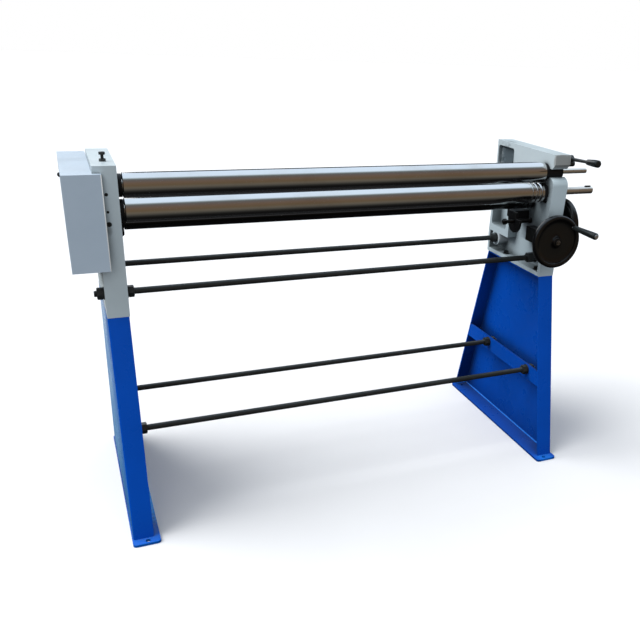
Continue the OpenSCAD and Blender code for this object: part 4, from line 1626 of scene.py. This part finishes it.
@dataclass
class Studio:
    """Pale floor, soft lights and the camera."""

    eye: Triple = (-0.82892, -2.3273, 1.43374)
    yaw: float = 0.46235
    pitch: float = 0.37797
    roll: float = 0.05421
    lens: float = 43.707
    sensor: float = 36.0
    shift: tuple[float, float] = (-0.18, 0.03)
    floor_half: float = 30.0
    floor_waves: Waves = Waves(1.3, 4.0, 0.5)
    floor_tones: tuple[Colour, Colour] = ((0.86, 0.86, 0.86), (0.83, 0.83, 0.83))
    lamps: tuple[tuple[str, Triple, float, float], ...] = (
        ("broad_light", (-0.62, 0.12, 0.80), 3.3, 55.0),
        ("front_light", (-0.15, -0.9, 0.45), 1.0, 60.0),
    )
    sky_light: float = 0.65
    sky_tones: tuple[Colour, Colour] = ((0.10, 0.10, 0.105), (0.60, 0.66, 0.74))
    wall_tones: tuple[Colour, Colour] = ((1.95, 2.1, 1.95), (0.4, 0.5, 0.5))
    ceiling_tone: Colour = (2.6, 2.7, 2.8)
    surroundings: tuple[tuple[float, Colour], ...] = (
        (-180, (0.02, 0.022, 0.026)), (-135, (0.035, 0.035, 0.037)), (-110, (0.012, 0.012, 0.013)),
        (-66, (0.007, 0.007, 0.007)), (-49, (0.028, 0.027, 0.025)), (-35, (0.08, 0.076, 0.066)),
        (-18, (0.15, 0.13, 0.10)), (3, (0.155, 0.11, 0.066)), (25, (0.175, 0.12, 0.085)),
        (41, (0.16, 0.13, 0.114)), (53, (0.15, 0.14, 0.135)), (62, (0.20, 0.23, 0.24)),
        (70, (0.46, 0.55, 0.60)), (78, (0.88, 1.06, 1.26)), (138, (0.92, 1.10, 1.31)),
        (150, (0.01, 0.014, 0.02)), (180, (0.02, 0.022, 0.026)),
    )

    def build(self) -> None:
        """Sets the floor, the sky, the lights and the camera."""
        self.floor()
        self.sky()
        self.lights()
        self.camera()
        view = bpy.context.scene.view_settings
        view.view_transform = "Standard"
        view.look = "None"

    def floor(self) -> None:
        """Lays a large pale floor."""
        bm = bmesh.new()
        bmesh.ops.create_grid(bm, x_segments=1, y_segments=1, size=self.floor_half)
        mesh = bpy.data.meshes.new("pale_floor")
        bm.to_mesh(mesh)
        bm.free()
        piece = bpy.data.objects.new("pale_floor", mesh)
        bpy.context.scene.collection.objects.link(piece)
        graph = Graph("pale_floor_paint")
        cloud = graph.span(graph.noise(self.floor_waves), 0.3, 0.7)
        graph.wire(graph.blend(cloud, *self.floor_tones), graph.shader.inputs["Base Color"])
        graph.wire(0.8, graph.shader.inputs["Roughness"])
        graph.wire(0.1, graph.shader.inputs["Specular IOR Level"])
        mesh.materials.append(graph.material)
        piece.visible_glossy = False
        piece.visible_diffuse = False

    def surrounds(self, nodes: Nodes) -> bpy.types.NodeSocket:
        """Builds what the bright pieces mirror: bands of a room, a wall and a ceiling.

        Args:
            nodes: Nodes of the sky.

        Returns:
            A colour socket.
        """
        way = nodes.add("ShaderNodeTexCoord").outputs["Generated"]
        east, north, up = nodes.add("ShaderNodeSeparateXYZ", {0: way}).outputs
        turn = nodes.maths("ARCTAN2", up, nodes.product(north, -1.0))
        share = nodes.maths("MULTIPLY_ADD", turn, 0.5 / math.pi, 0.5)
        bands = nodes.add("ShaderNodeValToRGB", {0: share})
        stops = bands.color_ramp.elements
        for _ in range(len(self.surroundings) - 2):
            stops.new(0.5)
        for stop, (degrees, tone) in zip(stops, self.surroundings):
            stop.position = degrees / 360 + 0.5
            stop.color = (*tone, 1.0)
        wall = nodes.blend(nodes.span(up, -0.30, -0.52), *self.wall_tones)
        behind = nodes.product(nodes.span(north, 0.80, 0.90), nodes.span(up, -0.27, -0.31),
                               nodes.span(east, -0.18, -0.12), nodes.span(east, 0.04, 0.0))
        above = nodes.product(nodes.span(north, 0.78, 0.86), nodes.span(up, 0.20, 0.32),
                              nodes.span(east, 0.085, 0.055))
        room = nodes.blend(behind, bands.outputs[0], wall)
        return nodes.blend(above, room, self.ceiling_tone)

    def sky(self) -> None:
        """Sets a white backdrop, a soft sky that lights, and a room for reflections only."""
        world = bpy.data.worlds.new("studio")
        bpy.context.scene.world = world
        world.cycles.sampling_method = "NONE"
        world.use_nodes = True
        nodes = Nodes(world.node_tree)
        way = nodes.add("ShaderNodeTexCoord").outputs["Generated"]
        up = nodes.add("ShaderNodeSeparateXYZ", {0: way}).outputs[2]
        soft = nodes.blend(nodes.span(up, -0.25, 0.35), *self.sky_tones)
        lit, mirrored, seen = (
            nodes.add("ShaderNodeBackground", {"Color": colour, "Strength": strength}).outputs[0]
            for colour, strength in (
                (soft, self.sky_light), (self.surrounds(nodes), 1.0), ((1.0, 1.0, 1.0, 1.0), 1.0)
            )
        )
        rays = nodes.add("ShaderNodeLightPath").outputs
        for ray, shown in (("Is Glossy Ray", mirrored), ("Is Camera Ray", seen)):
            lit = nodes.add("ShaderNodeMixShader", {0: rays[ray], 1: lit, 2: shown}).outputs[0]
        nodes.add("ShaderNodeOutputWorld", {0: lit})

    def lights(self) -> None:
        """Hangs a broad soft light up to the left, and a weak one in front."""
        for name, origin, power, spread in self.lamps:
            data = bpy.data.lights.new(name, "SUN")
            data.energy = power
            data.angle = math.radians(spread)
            lamp = bpy.data.objects.new(name, data)
            lamp.rotation_euler = (-Vector(origin)).to_track_quat("-Z", "Y").to_euler()
            lamp.visible_glossy = False
            bpy.context.scene.collection.objects.link(lamp)

    def camera(self) -> None:
        """Sets the camera at its measured place."""
        data = bpy.data.cameras.new("camera")
        data.sensor_width = self.sensor
        data.lens = self.lens
        data.shift_x, data.shift_y = self.shift
        data.clip_end = 100.0
        ahead = Vector((math.sin(self.yaw) * math.cos(self.pitch),
                        math.cos(self.yaw) * math.cos(self.pitch), -math.sin(self.pitch)))
        right = Vector((math.cos(self.yaw), -math.sin(self.yaw), 0))
        up = right.cross(ahead)
        c, s = math.cos(self.roll), math.sin(self.roll)
        right, up = right * c + up * s, up * c - right * s
        matrix = Matrix((right, up, -ahead)).transposed().to_4x4()
        matrix.translation = Vector(self.eye)
        piece = bpy.data.objects.new("camera", data)
        piece.matrix_world = matrix
        bpy.context.scene.collection.objects.link(piece)
        bpy.context.scene.camera = piece


def main() -> None:
    """Builds every sub-assembly, then the studio."""
    logging.basicConfig(level=logging.INFO, format="%(name)s %(message)s")
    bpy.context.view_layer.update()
    for part in (
        Stand(Side.LEFT), Stand(Side.RIGHT), EndFrames(), GearCover(), TieRods(), Rolls(),
        Bearings(), ReleaseArm(), Handwheel("side_wheel", Body.SIDE_WHEEL, Axis.X, False),
        FrontHandwheel(), Studio(),
    ):
        part.build()


if __name__ == "__main__":
    main()
